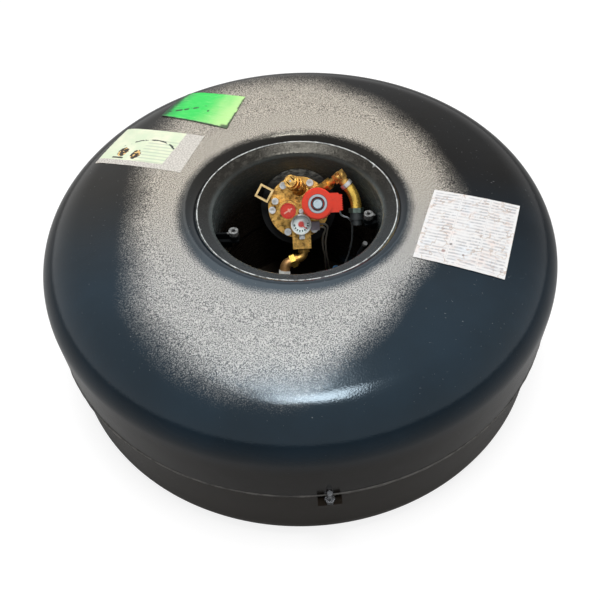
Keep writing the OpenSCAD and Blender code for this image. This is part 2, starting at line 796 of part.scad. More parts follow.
// Pick-up tube: out of the tail, then straight down to the filter
pickup_top = -tail_len + tube_socket;
function valve_point(p) = [valve_x + p[0],
  valve_y + p[1] * sin(valve_tilt) - p[2] * cos(valve_tilt),
  valve_z + p[1] * cos(valve_tilt) + p[2] * sin(valve_tilt)];
pickup_start = valve_point([pickup_at[0], pickup_at[1], pickup_top]);
pickup_bend = valve_point([pickup_at[0], pickup_at[1], -tail_len - pickup_run]);
filter_foot = wall + 3;
filter_r = 10;
pickup_foot = [pickup_bend[0], pickup_bend[1], filter_foot + 6];
pickup_path = [pickup_start, pickup_bend, pickup_foot];
pickup_bend_r = 20;

module pickup_tube() color("#c08a5a") difference() {
  bent_bar(pickup_path, pickup_r, pickup_bend_r);
  bent_bar([pickup_start - leg(pickup_path, 0), pickup_bend, pickup_foot - [0, 0, over]],
    pickup_r - 1, pickup_bend_r);
}

module pickup_filter() color("#aeb2b4") translate([pickup_bend[0], pickup_bend[1], filter_foot])
  difference() {
    rod(filter_r, filter_h);
    rod(filter_r - 1, filter_h - 3, 1.5);
    rod(pickup_r + fit, filter_h);
  }

// ---------- filling side ----------

link_af = 14;
link_h = 6;
link_r = 4.5;
elbow_r = 7;
elbow_side = 12;
barrel_r = 6;
barrel_bore_r = 3.5;
collar_r = 8;
collar_len = 5;
end_nut_h = 6;
hose_sleeve = 9;
hose_len = 16;
bend_path_r = 45;
bend_start_turn = 37;
bend_z = 38.5;
bend_end = [73.5, -3];
bend_centre = [bend_end[0] - bend_path_r, bend_end[1]];
bend_start = bend_centre + bend_path_r * [cos(bend_start_turn), sin(bend_start_turn)];
inlet_dir = [sin(inlet_tilt) * cos(inlet_turn), sin(inlet_tilt) * sin(inlet_turn), cos(inlet_tilt)];
inlet_corner = inlet_at + inlet_run * inlet_dir;
bend_start3 = [bend_start[0], bend_start[1], bend_z];
barrel_way = unit(bend_start3 - inlet_corner);
barrel_end = bend_start3 - 2 * gap * barrel_way;

// Nipple, link and corner block in one brass piece
module inlet_elbow() color("#c4a052") on_valve() difference() {
  union() {
    on_inlet() rod(inlet_bore_r - fit, inlet_boss_len, 2);
    on_inlet() hex(link_af, link_h, inlet_boss_len + fit);
    on_inlet() rod(link_r, inlet_run - inlet_boss_len - fit, inlet_boss_len + fit);
    translate(inlet_corner) sphere(r = elbow_r, $fn = round_fn);
    strut(inlet_corner, barrel_end, barrel_r);
    on_inlet() translate([-elbow_side / 2, -elbow_side / 2, inlet_run - elbow_side / 2]) cube(elbow_side);
  }
  on_inlet() rod(2.2, inlet_run, 0);
  strut(inlet_corner, barrel_end + 2 * barrel_way, barrel_bore_r);
}

module inlet_collar() color("#d9d6c8") on_valve() difference() {
  strut(barrel_end - (collar_len + 1) * barrel_way, barrel_end - barrel_way, collar_r);
  strut(inlet_corner, barrel_end + 2 * barrel_way, barrel_r + fit);
}

module inlet_bend() color("#c9a050") on_valve() translate([bend_centre[0], bend_centre[1], bend_z])
  rotate_extrude(angle = bend_start_turn, $fn = ring_fn) translate([bend_path_r, 0]) difference() {
    circle(r = bend_r, $fn = 48);
    circle(r = bend_r - 2, $fn = 48);
  }

module down_plane(x, y, z) {
  translate([x, y, z]) rotate([90, 0, 0]) children();
}

module inlet_end_nut() color("#d8c88a") on_valve() down_plane(bend_end[0], bend_end[1] - fit, bend_z)
  difference() {
    hex(2 * bend_r + 3, end_nut_h);
    rod(bend_r - 2, end_nut_h + 2 * over, -over);
  }

module inlet_hose() color("#1f2022") on_valve()
  down_plane(bend_end[0], bend_end[1] - end_nut_h - 2 * fit, bend_z) difference() {
    union() {
      rod(bend_r + 1, hose_sleeve);
      rod(bend_r - 0.5, hose_len);
    }
    rod(bend_r - 2.5, hose_len + 2 * over, -over);
  }

// ---------- outlet side ----------

arm_heading = 200;
nut_heading = 260;
outlet_knee = [outlet_at[0], outlet_at[1] - 11, outlet_z];
arm_way = [cos(arm_heading), sin(arm_heading), 0];
nut_way = [cos(nut_heading), sin(nut_heading), 0];
outlet_mid = outlet_knee + 12 * arm_way;
outlet_far = outlet_knee + 27 * arm_way;
outlet_foot = outlet_far + 9 * nut_way;
elbow_bend = 8;
socket_hex_af = 16;
socket_hex_h = 5;
elbow_lip_t = 3;
outlet_nut_h = 7;
end_nut_af = 15;
outlet_bore_r = 3.6;
outlet_bend_r = 6.8;
end_bore_r = 4;

module along(p, turn) {
  translate(p) rotate([0, 90, turn]) children();
}

module outlet_elbow() color("#c4a052") on_valve() difference() {
  union() {
    bent_bar([[outlet_at[0], outlet_at[1] + 10, outlet_z], outlet_knee, outlet_mid],
      outlet_tube_r, elbow_bend);
    along([outlet_at[0], outlet_at[1] - fit, outlet_z], -90) hex(socket_hex_af, socket_hex_h);
    along(outlet_mid - elbow_lip_t * arm_way, arm_heading) rod(outlet_bend_r + 0.6, elbow_lip_t);
  }
  bent_bar([[outlet_at[0], outlet_at[1] + 12, outlet_z], outlet_knee, outlet_mid + 2 * arm_way],
    outlet_bore_r, elbow_bend);
}

module outlet_union_nut() color("#dfc04a") on_valve() along(outlet_mid, arm_heading) difference() {
  hex(union_af, outlet_nut_h, fit);
  rod(outlet_bore_r, outlet_nut_h + 2 * over, -over);
}

module outlet_bend() color("#bf8f5a") on_valve() difference() {
  bent_bar([outlet_mid + (outlet_nut_h + 2 * fit) * arm_way, outlet_far, outlet_foot],
    outlet_bend_r, elbow_bend);
  bent_bar([outlet_mid, outlet_far, outlet_foot + 2 * nut_way], outlet_bore_r, elbow_bend);
}

module outlet_end_nut() color("#e6e6e0") on_valve() along(outlet_foot, nut_heading) difference() {
  hex(end_nut_af, outlet_nut_h, fit);
  rod(end_bore_r, outlet_nut_h + 2 * over, -over);
}

// Supply pipe left in the well after it was cut, coming up through a vent hole
pipe_foot = [vent_at[0] + vent_r - gap - pipe_r, vent_at[1]];
pipe_path = [[pipe_foot[0], pipe_foot[1], 20], [pipe_foot[0], pipe_foot[1], 46], [80, 30, 84],
  [79, 26, 120], [86, 19, 146]];
pipe_bend_r = 30;

module cut_pipe() color("#3b3e42") bent_bar(pipe_path, pipe_r, pipe_bend_r);

module pipe_ferrule() color("#e4e6e6")
  strut(pipe_path[4] + fit * leg(pipe_path, 3), pipe_path[4] + 4 * leg(pipe_path, 3), pipe_r + 0.6);

// ---------- leads ----------

lead_r = 1.2;
lead_a_path = [[28.55, 36, 171.3], [31.8, 36, 171.3], [35.6, 36.4, 170], [38.4, 37.1, 166],
  [39, 38, 160], [37.6, 39, 148], [36.2, 40, 134], [36.6, 42, 118], [38, 46, 100], [40, 52, 82],
  [41, 60, 64], [41.6, 66, 51], [43, 70.4, 43.4], [47, 73.6, 39.9]];
lead_b_path = [[28.55, 33.4, 168.2], [31.2, 33.4, 168.2], [34.2, 33.9, 166.6], [35.6, 35, 162.6],
  [35, 36.4, 156.6], [33, 38.2, 147], [32, 40, 134], [33, 42, 118], [35, 47, 100], [36, 54, 80],
  [37, 62, 60], [37, 66.4, 49.6], [35.6, 69, 43.6], [32.4, 70.2, 40], [28.4, 70.4, 39.3], [24, 69.6, 39.3]];
coil_lead_path = [[55, 37.3, 193], [55, 35.4, 190.7], [56.4, 34.4, 187.4], [60, 35, 183.5], [65, 37, 179],
  [69, 40, 171], [72, 45, 158], [73, 50, 138],
  [73, 55, 116], [71, 61, 92], [68, 66, 70], [65, 69, 52], [63, 71, 44]];

module gauge_lead_a() color("#1b1c1e") soft_tube(lead_a_path, lead_r);

module gauge_lead_b() color("#1b1c1e") soft_tube(lead_b_path, lead_r);

module coil_lead() color("#4a4e52") soft_tube(coil_lead_path, lead_r);

// Blue ring terminal lying on the well floor
module ring_terminal() color("#2f7fd0") translate([53, 76, floor_z + gap]) ring(5, 2.6, 1.6);

module lead_sleeve() color("#e8e8e4") strut([63, 71, 43.5], [61, 74, 39.5], 1.9);

upper_shell();
lower_shell();
girth_weld();
well_tube();
rim_weld();
well_floor();
valve_neck();
left_lid_bracket();
right_lid_bracket();
side_lug();
lug_stud();
lug_nut();
data_label();
green_label();
approval_label();
flange_gasket();
valve_body();
flange_screws();
port_plug();
loop_bracket();
relief_body();
relief_poppet();
relief_spring();
tap_stem();
tap_knob();
coil_core_tube();
coil_plunger();
plunger_spring();
coil_winding();
coil_body();
coil_washer();
coil_nut();
gauge_housing();
gauge_dial();
gauge_needle();
gauge_lens();
gauge_screws();
sensor_plug();
gauge_tube();
float_arm();
float();
pickup_tube();
pickup_filter();
inlet_elbow();
inlet_collar();
inlet_bend();
inlet_end_nut();
inlet_hose();
outlet_elbow();
outlet_union_nut();
outlet_bend();
outlet_end_nut();
cut_pipe();
pipe_ferrule();
gauge_lead_a();
gauge_lead_b();
ring_terminal();
coil_lead();
lead_sleeve();
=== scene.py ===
"""Toroidal autogas tank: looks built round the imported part. Sizes are in metres, Z is up."""

import math

import bmesh
import bpy
import numpy as np
from bpy.props import FloatProperty, FloatVectorProperty, IntProperty, PointerProperty
from mathutils import Matrix, Vector


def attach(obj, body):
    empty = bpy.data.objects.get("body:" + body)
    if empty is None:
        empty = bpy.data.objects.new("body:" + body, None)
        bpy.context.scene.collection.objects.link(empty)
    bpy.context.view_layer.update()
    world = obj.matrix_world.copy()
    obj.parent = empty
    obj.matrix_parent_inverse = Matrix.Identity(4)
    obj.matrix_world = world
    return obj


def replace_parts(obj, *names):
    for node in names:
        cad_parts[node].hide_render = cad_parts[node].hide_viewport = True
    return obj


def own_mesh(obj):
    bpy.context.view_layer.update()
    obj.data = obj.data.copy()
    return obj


bl_info = {
    "name": "Toroidal Autogas Tank",
    "version": (1, 0, 0),
    "blender": (4, 5, 0),
    "location": "3D View > Sidebar > Autogas Tank",
    "description": "Shells, labels, valve and leads of a ring-shaped autogas tank",
    "category": "Object",
}

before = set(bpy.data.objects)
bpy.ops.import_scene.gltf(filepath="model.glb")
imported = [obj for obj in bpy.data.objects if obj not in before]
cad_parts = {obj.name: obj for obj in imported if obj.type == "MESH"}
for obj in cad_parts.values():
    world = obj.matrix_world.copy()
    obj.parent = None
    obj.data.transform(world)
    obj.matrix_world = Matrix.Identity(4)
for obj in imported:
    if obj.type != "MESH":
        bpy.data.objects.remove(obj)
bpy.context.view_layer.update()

MM = 0.001
GAP = 0.0003
# the valve's own frame: X to the right, Y up its flange, Z out of it
VALVE_AT = Vector((0.0025, 0.071, 0.171))
VALVE_LEAN = math.radians(50.0)
# axes of the coil and of the gauge in that frame, and the height of the knob's face
COIL_AT = (0.024, 0.0053, 0.0)
GAUGE_AT = (0.0019, -0.0214, 0.0)
KNOB_FACE = 0.038
LEAD_R = 0.0012
CAMERA_AT = (0.0, -0.65317, 0.85062)


# ---------- colours ----------


def linear(code):
    """sRGB hex to linear RGB: each channel is divided by 12.92 below 0.04045, else ((c + 0.055) / 1.055) ^ 2.4."""
    channels = [int(code[i : i + 2], 16) / 255 for i in (1, 3, 5)]
    return tuple(c / 12.92 if c <= 0.04045 else ((c + 0.055) / 1.055) ** 2.4 for c in channels)


def rgba(colour, level=1.0):
    """A linear colour, or the hex code of one, at a share of its brightness, with full alpha."""
    channels = linear(colour) if isinstance(colour, str) else tuple(colour)[:3]
    return (*(min(channel * level, 1.0) for channel in channels), 1.0)


# ---------- settings ----------


def metres(name, about, value):
    return FloatProperty(name=name, description=about, default=value, unit="LENGTH", precision=5)


def tint(name, about, code):
    return FloatVectorProperty(name=name, description=about, subtype="COLOR", default=linear(code))


class TankShape(bpy.types.PropertyGroup):
    """Sizes of the two shells and the well."""

    tank_r: metres("Tank radius", "Outer radius of the upper shell", 0.315)
    tank_h: metres("Tank height", "Height over both shells", 0.250)
    wall: metres("Sheet", "Thickness of the steel sheet", 0.0035)
    seam_z: metres("Girth seam", "Height of the seam between the shells", 0.118)
    flat_r: metres("Flat radius", "Radius at which the crown starts to fall", 0.150)
    dome_r: metres("Dome radius", "Radius of the upper shell's domed crown", 0.900)
    bend: metres("Outer bend", "Bend radius at the upper shell's outer edge", 0.062)
    knuckle: metres("Inner bend", "Bend radius towards the well", 0.016)
    well_r: metres("Well radius", "Inside radius of the well", 0.103)
    rim_r: metres("Collar radius", "Radius of the collar's outer edge", 0.1195)
    rim_drop: metres("Collar drop", "How far the collar lies below the top", 0.010)
    segments: IntProperty(name="Segments", description="Steps round the tank", default=288, min=48, max=720)


class TankPaint(bpy.types.PropertyGroup):
    """Colours and grain of the textured enamel."""

    body: tint("Enamel", "Enamel on top and sides", "#0f1e29")
    well: tint("Well enamel", "Enamel inside the well", "#12181b")
    # darker, browner enamel towards the bottom
    foot: tint("Foot", "Dirty enamel below the girth seam", "#231e19")
    # painted reflection: the gloss is tinted blue in front and warm at the back
    sheen: tint("Sheen", "Tint of the gloss in front", "#cde1ee")
    back_sheen: tint("Back sheen", "Tint of the gloss at the back", "#c9c5b8")
    # painted highlight: the pale grains of the sparkling reflection on the crown, in front and at the back
    painted_sheen: tint("Dry spray", "Pale grains of paint that dried before they landed", "#cbc9c5")
    back_painted_sheen: tint("Back dry spray", "Browner grains at the back", "#d2cabd")
    # painted light on the well's wall
    painted_light: tint("Wall film", "Grey film on the well's wall", "#7b8686")
    dust: tint("Dust", "Dust that lies in the texture", "#a9adae")
    # height of the painted shadow along the girth seam
    seam_z: metres("Seam", "Height of the dirt line along the girth seam", 0.118)
    grain: metres("Grain", "Width of one grain of the orange-peel texture", 0.0021)
    relief: metres("Relief", "Height of the grains", 0.00018)


class LabelLook(bpy.types.PropertyGroup):
    """Colours of the three adhesive labels."""

    paper: tint("Paper", "White label stock", "#e8e7e6")
    green: tint("Green", "Green label stock", "#25d957")
    pale: tint("Pale", "Faded label stock", "#dce9cb")
    ink: tint("Ink", "Printing ink", "#575a70")
    line_pitch: metres("Line pitch", "Distance between printed lines", 0.0048)


class ValveLook(bpy.types.PropertyGroup):
    """Colours of the valve, its fittings and the leads."""

    brass: tint("Brass", "Cast and machined brass", "#d8ab5c")
    bright: tint("Bright brass", "Newly cut brass", "#e8c25c")
    copper: tint("Copper alloy", "Bent copper tube", "#cfa067")
    zinc: tint("Zinc", "Zinc plating", "#c9cccd")
    red: tint("Red", "Knob and coil plastic", "#ea3a1c")
    dial: tint("Dial", "Gauge dial", "#f0fbfb")


class StageLook(bpy.types.PropertyGroup):
    """Lamps, background and camera."""

    key: FloatProperty(name="Overhead strip", description="Radiance of the overhead strip light", default=2.4, min=0)
    pane: FloatProperty(name="Window pane", description="Radiance of the pane above the tank", default=17.0, min=0)
    glare: FloatProperty(name="Window glare", description="Radiance that only the gloss shows", default=17.0, min=0)
    fill: FloatProperty(name="Fill", description="Strength of the light from all round", default=0.42, min=0)
    lens: FloatProperty(name="Lens", description="Focal length in millimetres, 36 mm sensor", default=44.31, min=10)


# ---------- meshes ----------


def mesh_piece(name, points, faces, body="tank"):
    """A piece from an array of points and an array of faces, smooth, riding on a body."""
    mesh = bpy.data.meshes.new(name)
    mesh.from_pydata(np.asarray(points).reshape(-1, 3).tolist(), [], [list(f) for f in faces])
    mesh.validate()
    mesh.update()
    mesh.shade_smooth()
    piece = bpy.data.objects.new(name, mesh)
    bpy.context.scene.collection.objects.link(piece)
    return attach(piece, body)


def grid_faces(rows, cols, wrap_rows, wrap_cols):
    """Quads between neighbours of a rows by cols grid: (i, j), (i, j+1), (i+1, j+1), (i+1, j), wrapping where asked."""
    i = np.arange(rows if wrap_rows else rows - 1)
    j = np.arange(cols if wrap_cols else cols - 1)
    i, j = np.meshgrid(i, j, indexing="ij")
    down, right = (i + 1) % rows, (j + 1) % cols
    return np.stack([i * cols + j, i * cols + right, down * cols + right, down * cols + j], -1).reshape(-1, 4)


def revolved(profile, count):
    """Profile (r, z) turned about Z: point = (r cos a, r sin a, z), with a from 0 to a full turn in equal steps."""
    a = np.linspace(0, 2 * math.pi, count, endpoint=False)
    r, z = profile[:, :1], profile[:, 1:]
    return np.stack([r * np.cos(a), r * np.sin(a), z + 0 * a], -1)


def arc(centre, radius, start, end, steps):
    """Points on a circle: centre + radius (cos a, sin a), with a in degrees from start to end."""
    a = np.radians(np.linspace(start, end, steps + 1))
    return np.stack([centre[0] + radius * np.cos(a), centre[1] + radius * np.sin(a)], -1)


def smooth_route(points, steps):
    """Catmull-Rom curve: each span is the cubic through its two points whose slopes are half the chords beside it."""
    p = np.array(points, float) * MM
    p = np.vstack([2 * p[0] - p[1], p, 2 * p[-1] - p[-2]])
    t = (np.arange(steps) / steps)[:, None]
    spans = [
        0.5 * (2 * b + (c - a) * t + (2 * a - 5 * b + 4 * c - d) * t**2 + (3 * b - a - 3 * c + d) * t**3)
        for a, b, c, d in zip(p, p[1:], p[2:], p[3:])
    ]
    return np.vstack([*spans, p[-2:-1]])


def tube(path, radius, sides):
    """Circle of the given radius carried along a path: point = p + radius (cos a u + sin a v), with u and v square to
    the path."""
    t = np.gradient(path, axis=0)
    t /= np.linalg.norm(t, axis=1)[:, None]
    u = np.cross(t, [0.3, 1.0, 0.2])
    u /= np.linalg.norm(u, axis=1)[:, None]
    v = np.cross(t, u)
    a = np.linspace(0, 2 * math.pi, sides, endpoint=False)[None, :, None]
    radius = np.broadcast_to(np.asarray(radius, float), (len(path),))[:, None, None]
    return path[:, None] + radius * (np.cos(a) * u[:, None] + np.sin(a) * v[:, None])


def tube_faces(rows, sides):
    """Grid faces round the tube, and one face on each end."""
    sidewall = grid_faces(rows, sides, False, True).tolist()
    last = (rows - 1) * sides
    return [*sidewall, list(range(sides))[::-1], [last + k for k in range(sides)]]


def outward(piece):
    """Turns every face of a closed piece outwards."""
    work = bmesh.new()
    work.from_mesh(piece.data)
    bmesh.ops.recalc_face_normals(work, faces=work.faces)
    work.to_mesh(piece.data)
    work.free()
    return piece


def sharpen(piece, degrees):
    """Smooth faces, with a crease wherever two faces meet at more than the angle."""
    piece.data.shade_smooth()
    piece.data.set_sharp_from_angle(angle=math.radians(degrees))
    return piece


def merged_copy(node, name, body, degrees=32):
    """The CAD node's own shape with its loose triangles joined, so that modifiers and smooth shading work on it."""
    work = bmesh.new()
    work.from_mesh(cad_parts[node].data)
    bmesh.ops.remove_doubles(work, verts=work.verts, dist=1e-6)
    mesh = bpy.data.meshes.new(name)
    work.to_mesh(mesh)
    work.free()
    piece = bpy.data.objects.new(name, mesh)
    bpy.context.scene.collection.objects.link(piece)
    sharpen(piece, degrees)
    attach(piece, body)
    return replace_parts(piece, node)


def finish(piece, material, slot, *nodes):
    """Gives a piece its material and lets it stand for the CAD nodes; the slot is not used."""
    piece.data.materials.clear()
    piece.data.materials.append(material)
    if nodes:
        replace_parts(piece, *nodes)
    return piece


def paint_node(node, material):
    """Puts a material on a CAD node that keeps its own shape."""
    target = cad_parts[node]
    if not target.material_slots:
        target.data.materials.append(material)
    for holder in target.material_slots:
        holder.material = material


# ---------- node trees ----------


def tree_of(*values):
    """The node tree that the first node or socket among the values belongs to."""
    return next(value.id_data for value in values if isinstance(value, (bpy.types.Node, bpy.types.NodeSocket)))


def add(tree, kind, links=None, **settings):
    """Adds one node, sets its properties, and fills its inputs with values or links."""
    node = tree.nodes.new(kind)
    for key, value in settings.items():
        setattr(node, key, value)
    for key, value in (links or {}).items():
        if isinstance(value, bpy.types.NodeSocket):
            tree.links.new(value, node.inputs[key])
        else:
            node.inputs[key].default_value = value
    return node


def bare_tree(owner):
    """The emptied node tree of a material or world."""
    owner.use_nodes = True
    owner.node_tree.nodes.clear()
    return owner.node_tree


def new_material(name, **surface):
    """A material with one Principled surface; returns the material and the surface node."""
    material = bpy.data.materials.new(name)
    tree = bare_tree(material)
    shader = add(tree, "ShaderNodeBsdfPrincipled", surface)
    add(tree, "ShaderNodeOutputMaterial", {"Surface": shader.outputs[0]})
    return material, shader


def link(source, shader, name):
    tree_of(shader).links.new(source, shader.inputs[name])


def calc(operation, *values):
    """One maths node."""
    return add(tree_of(*values), "ShaderNodeMath", dict(enumerate(values)), operation=operation).outputs[0]


def times(a, b):
    return calc("MULTIPLY", a, b)


def plus(a, b):
    return calc("ADD", a, b)


def less(value, share=1.0):
    """1 minus a share of the value."""
    return plus(times(value, -share), 1.0)


def most(*values):
    """The largest of several values."""
    top = values[0]
    for value in values[1:]:
        top = calc("MAXIMUM", top, value)
    return top


def ramp(source, low, high):
    """Turns a value between low and high into a smooth 0 to 1."""
    links = {"Value": source, "From Min": low, "From Max": high}
    kind = "ShaderNodeMapRange"
    return add(tree_of(source), kind, links, interpolation_type="SMOOTHSTEP", clamp=True).outputs["Result"]


def band(value, low, high, edge):
    """1 between low and high, falling to 0 over the width edge outside them."""
    return times(ramp(value, low - edge, low), ramp(value, high + edge, high))


def blend_colour(share, under, upper):
    """Mixes two colours: under where share is 0, upper where it is 1."""
    return add(tree_of(share), "ShaderNodeMix", {0: share, 6: under, 7: upper}, data_type="RGBA").outputs[2]


def stained(base, share, colour, level=1.0):
    """The base with a share of another colour laid over it."""
    return blend_colour(share, base, rgba(colour, level))


def parts_of(vector):
    return add(tree_of(vector), "ShaderNodeSeparateXYZ", {0: vector}).outputs


def placed(where, location=(0, 0, 0), rotation=(0, 0, 0), scale=(1, 1, 1)):
    links = {"Vector": where, "Location": location, "Rotation": rotation, "Scale": scale}
    return add(tree_of(where), "ShaderNodeMapping", links).outputs[0]


def distance(where, centre=(0.0, 0.0, 0.0), scale=(1, 1, 1)):
    """Distance from a centre, with each axis weighted by the scale."""
    shifted = placed(where, location=[-c * k for c, k in zip(centre, scale)], scale=scale)
    return add(tree_of(where), "ShaderNodeVectorMath", {0: shifted}, operation="LENGTH").outputs["Value"]


def object_space(shader):
    return add(tree_of(shader), "ShaderNodeTexCoord").outputs["Object"]


def valve_space(shader):
    """Object coordinates turned and moved into the valve's own frame."""
    turn = Matrix.Rotation(-VALVE_LEAN, 3, "X")
    return placed(object_space(shader), location=-(turn @ VALVE_AT), rotation=(-VALVE_LEAN, 0, 0))


def sheet_space(shader):
    """A label's own coordinates in metres: X along its printed lines, Y across them."""
    return add(tree_of(shader), "ShaderNodeUVMap", uv_map="sheet").outputs["UV"]


def noise(where, size, detail=2.0, rough=0.5):
    """Noise whose lumps are about size metres wide."""
    links = {"Vector": where, "Scale": 1 / size, "Detail": detail, "Roughness": rough}
    return add(tree_of(where), "ShaderNodeTexNoise", links).outputs["Fac"]


def patches(where, size, low, high, detail=2.0, rough=0.5):
    """Noise cut into patches: 0 where it is below low, 1 where it is above high."""
    return ramp(noise(where, size, detail, rough), low, high)


def drift(where, size, amount, detail=2.0, rough=0.5):
    """Noise round zero, which shifts an edge to and fro by up to half the amount."""
    return times(plus(noise(where, size, detail, rough), -0.5), amount)


def bump(height, rise, strength=1.0, under=None):
    links = {"Height": height, "Distance": rise, "Strength": strength}
    if under is not None:
        links["Normal"] = under
    return add(tree_of(height), "ShaderNodeBump", links).outputs[0]


# ---------- materials ----------


def painted_sheen_patch(where):
    """Share of the painted highlight on the crown, a sparkling patch of reflected lamp light: full round the well,
    thinning out over some 60 mm, sooner at the sides than at front and back, soonest of all at the front right."""
    at = parts_of(where)
    wander = drift(where, 0.06, 0.035, 3.0, 0.6)
    reach = plus(distance(where, scale=(1.36, 1.0, 0.0)), wander)
    skew = times(at["X"], calc("ABSOLUTE", at["Y"]))
    front_right = times(most(at["X"], 0.0), most(times(at["Y"], -1.0), 0.0))
    reach = plus(reach, plus(times(skew, 0.8), times(front_right, 1.7)))
    outer = ramp(reach, 0.292, 0.205)
    lean = plus(times(at["Y"], 0.060), times(at["X"], 0.02))
    inner = ramp(plus(distance(where, scale=(1, 1, 0)), lean), 0.130, 0.148)
    return times(outer, inner)


def textured_enamel(name, look, colour, peel=1.0, gloss=0.14, painted_sheen_share=0.0, dust=1.0, shine=0.42, wall_light_and_smears=0.0):
    """Sprayed black enamel, cured to an orange peel: glossy where it flowed out, with dust, scratches and flecks. Its
    colour holds a painted reflection, blue-black in front and browner at the back, and a painted highlight, a grey
    sparkling patch on the crown."""
    material, shader = new_material(name, IOR=1.5)
    where = object_space(shader)
    # the coat is duller towards the back right
    at = parts_of(where)
    duller = ramp(plus(times(at["X"], 0.8), at["Y"]), -0.05, 0.20)
    duller = times(duller, ramp(distance(where, scale=(1, 1, 0)), 0.145, 0.190))
    level = times(less(duller, 0.75), shine)
    facing = parts_of(add(tree_of(shader), "ShaderNodeNewGeometry").outputs["Normal"])["Z"]
    up = ramp(facing, 0.5, 1.0)
    front = ramp(at["Y"], 0.06, -0.14)
    low = ramp(at["Z"], 0.205, 0.160)
    link(times(level, less(low, 0.4)), shader, "Specular IOR Level")
    # painted reflection: gloss tinted blue in front, warm at the back and low down
    cool = times(front, less(low))
    link(blend_colour(cool, rgba(look.back_sheen), rgba(look.sheen)), shader, "Specular Tint")
    # painted highlight: the share of the sparkling patch, on faces that look up
    painted_sheen = times(painted_sheen_patch(where), times(up, painted_sheen_share))
    # the grains are rounded lumps about two millimetres wide, the coarse end of such paint: finer ones would not show
    lumps = noise(where, look.grain, 2.0, 0.55)
    height = times(lumps, plus(times(painted_sheen, 1.5), 0.62))
    peeled = bump(height, look.relief * peel, 1.0)
    # slow waves of the pressed sheet
    waves = noise(where, 0.07, 2.0, 0.5)
    link(bump(waves, 0.0009, 0.7, peeled), shader, "Normal")
    tone = patches(where, 0.10, 0.3, 0.7, 3.0, 0.6)
    base = blend_colour(tone, rgba(colour, 0.8), rgba(colour, 1.25))
    # painted reflection: the base colour turns browner towards the back, where the gloss shows a warmer surrounding
    browner = times(less(front), 0.8)
    base = stained(base, browner, look.foot, 0.55)
    # darker and browner towards the bottom
    base = stained(base, times(low, 0.8), look.foot)
    if wall_light_and_smears:
        # painted light on the well's wall: a grey film, brightest near the top and gone towards the floor
        painted_light = times(ramp(at["Z"], 0.165, 0.232), ramp(at["Z"], 0.236, 0.230))
        # the painted light is weaker at the back, where the lamps light the wall already
        painted_light = times(painted_light, less(ramp(at["Y"], 0.0, 0.08), 0.75))
        base = stained(base, times(painted_light, wall_light_and_smears), look.painted_light)
    # painted highlight: pale and dark grains in turn, the sparkle of the lamps' reflection, thinning out at the edge of
    # the patch
    grains = noise(where, look.grain * 0.62, 3.0, 0.7)
    speckle = ramp(grains, 0.40, 0.58)
    pale = blend_colour(front, rgba(look.back_painted_sheen), rgba(look.painted_sheen))
    dark = blend_colour(front, rgba(look.back_painted_sheen, 0.14), rgba(look.painted_sheen, 0.16))
    sparkle = blend_colour(speckle, dark, pale)
    cloud = drift(where, 0.03, 0.5, 4.0, 0.6)
    thick = plus(painted_sheen, plus(cloud, times(plus(grains, -0.5), 1.3)))
    edge = times(ramp(thick, 0.0, 1.0), ramp(painted_sheen, 0.0, 0.12))
    base = blend_colour(edge, base, sparkle)
    # dust specks, short scratches and flecks down to the primer
    specks = times(patches(where, 0.0042, 0.68, 0.75, 3.0, 0.75), 0.45 * dust)
    long_way = placed(where, rotation=(0.2, 0.1, 0.7), scale=(1.0, 10.0, 4.0))
    scratches = patches(long_way, 0.02, 0.72, 0.75, 5.0, 0.8)
    flecks = patches(where, 0.008, 0.765, 0.785, 3.0, 0.8)
    chips = patches(where, 0.011, 0.74, 0.755, 4.0, 0.7)
    marks = times(most(scratches, flecks), 0.6 * dust)
    base = stained(base, times(specks, up), look.dust)
    base = stained(base, marks, "#bdbdb8")
    base = stained(base, times(chips, 0.8 * dust), "#2a211b")
    # painted shadow: a dark line in the gap along the girth seam
    seam = band(at["Z"], look.seam_z - 0.0006, look.seam_z + 0.0022, 0.0010)
    base = stained(base, times(seam, 0.85), "#060505")
    link(base, shader, "Base Color")
    dull = most(times(edge, times(painted_sheen, 0.30)), times(most(specks, marks), 0.5))
    if wall_light_and_smears:
        # smears of grease and dust that dull the gloss in patches
        smears = placed(where, scale=(1.0, 1.0, 3.0))
        dull = most(dull, times(patches(smears, 0.014, 0.48, 0.60, 5.0, 0.8), 0.30))
    link(plus(dull, gloss), shader, "Roughness")
    return material


def dusty_forging(name, look):
    """Black enamel on the forged valve neck: nearly black, with grey dust on the part that faces up."""
    surface = {"Roughness": 0.5, "Specular IOR Level": 0.12}
    material, shader = new_material(name, **surface)
    local = valve_space(shader)
    upper = ramp(parts_of(local)["Y"], 0.026, 0.050)
    streaks = patches(placed(local, scale=(1, 3, 1)), 0.009, 0.36, 0.66, 4.0, 0.7)
    share = times(times(upper, streaks), 0.75)
    link(blend_colour(share, rgba("#080a0c"), rgba("#6d706d")), shader, "Base Color")
    link(bump(noise(local, look.grain, 2.0, 0.5), look.relief, 0.6), shader, "Normal")
    return material


def plated_metal(name, colour, rough, tarnish, cover, grain=0.005, metal=1.0, relief=0.00012):
    """Turned, plated or cast metal: bright where handled, darker tarnish in patches, fine tool marks."""
    material, shader = new_material(name, Metallic=metal, Roughness=rough)
    where = object_space(shader)
    stain = patches(where, grain, 0.40, 0.70, 5.0, 0.65)
    spots = patches(where, grain / 3, 0.62, 0.72, 4.0, 0.7)
    worn = most(times(stain, cover), times(spots, cover * 1.3))
    tone = patches(where, grain * 2.5, 0.3, 0.7, 2.0, 0.5)
    fresh = blend_colour(tone, rgba(colour, 0.78), rgba(colour, 1.12))
    link(blend_colour(worn, fresh, rgba(tarnish)), shader, "Base Color")
    link(plus(times(worn, 0.3), rough), shader, "Roughness")
    link(bump(noise(where, 0.0011, 3.0, 0.6), relief, 0.7), shader, "Normal")
    return material


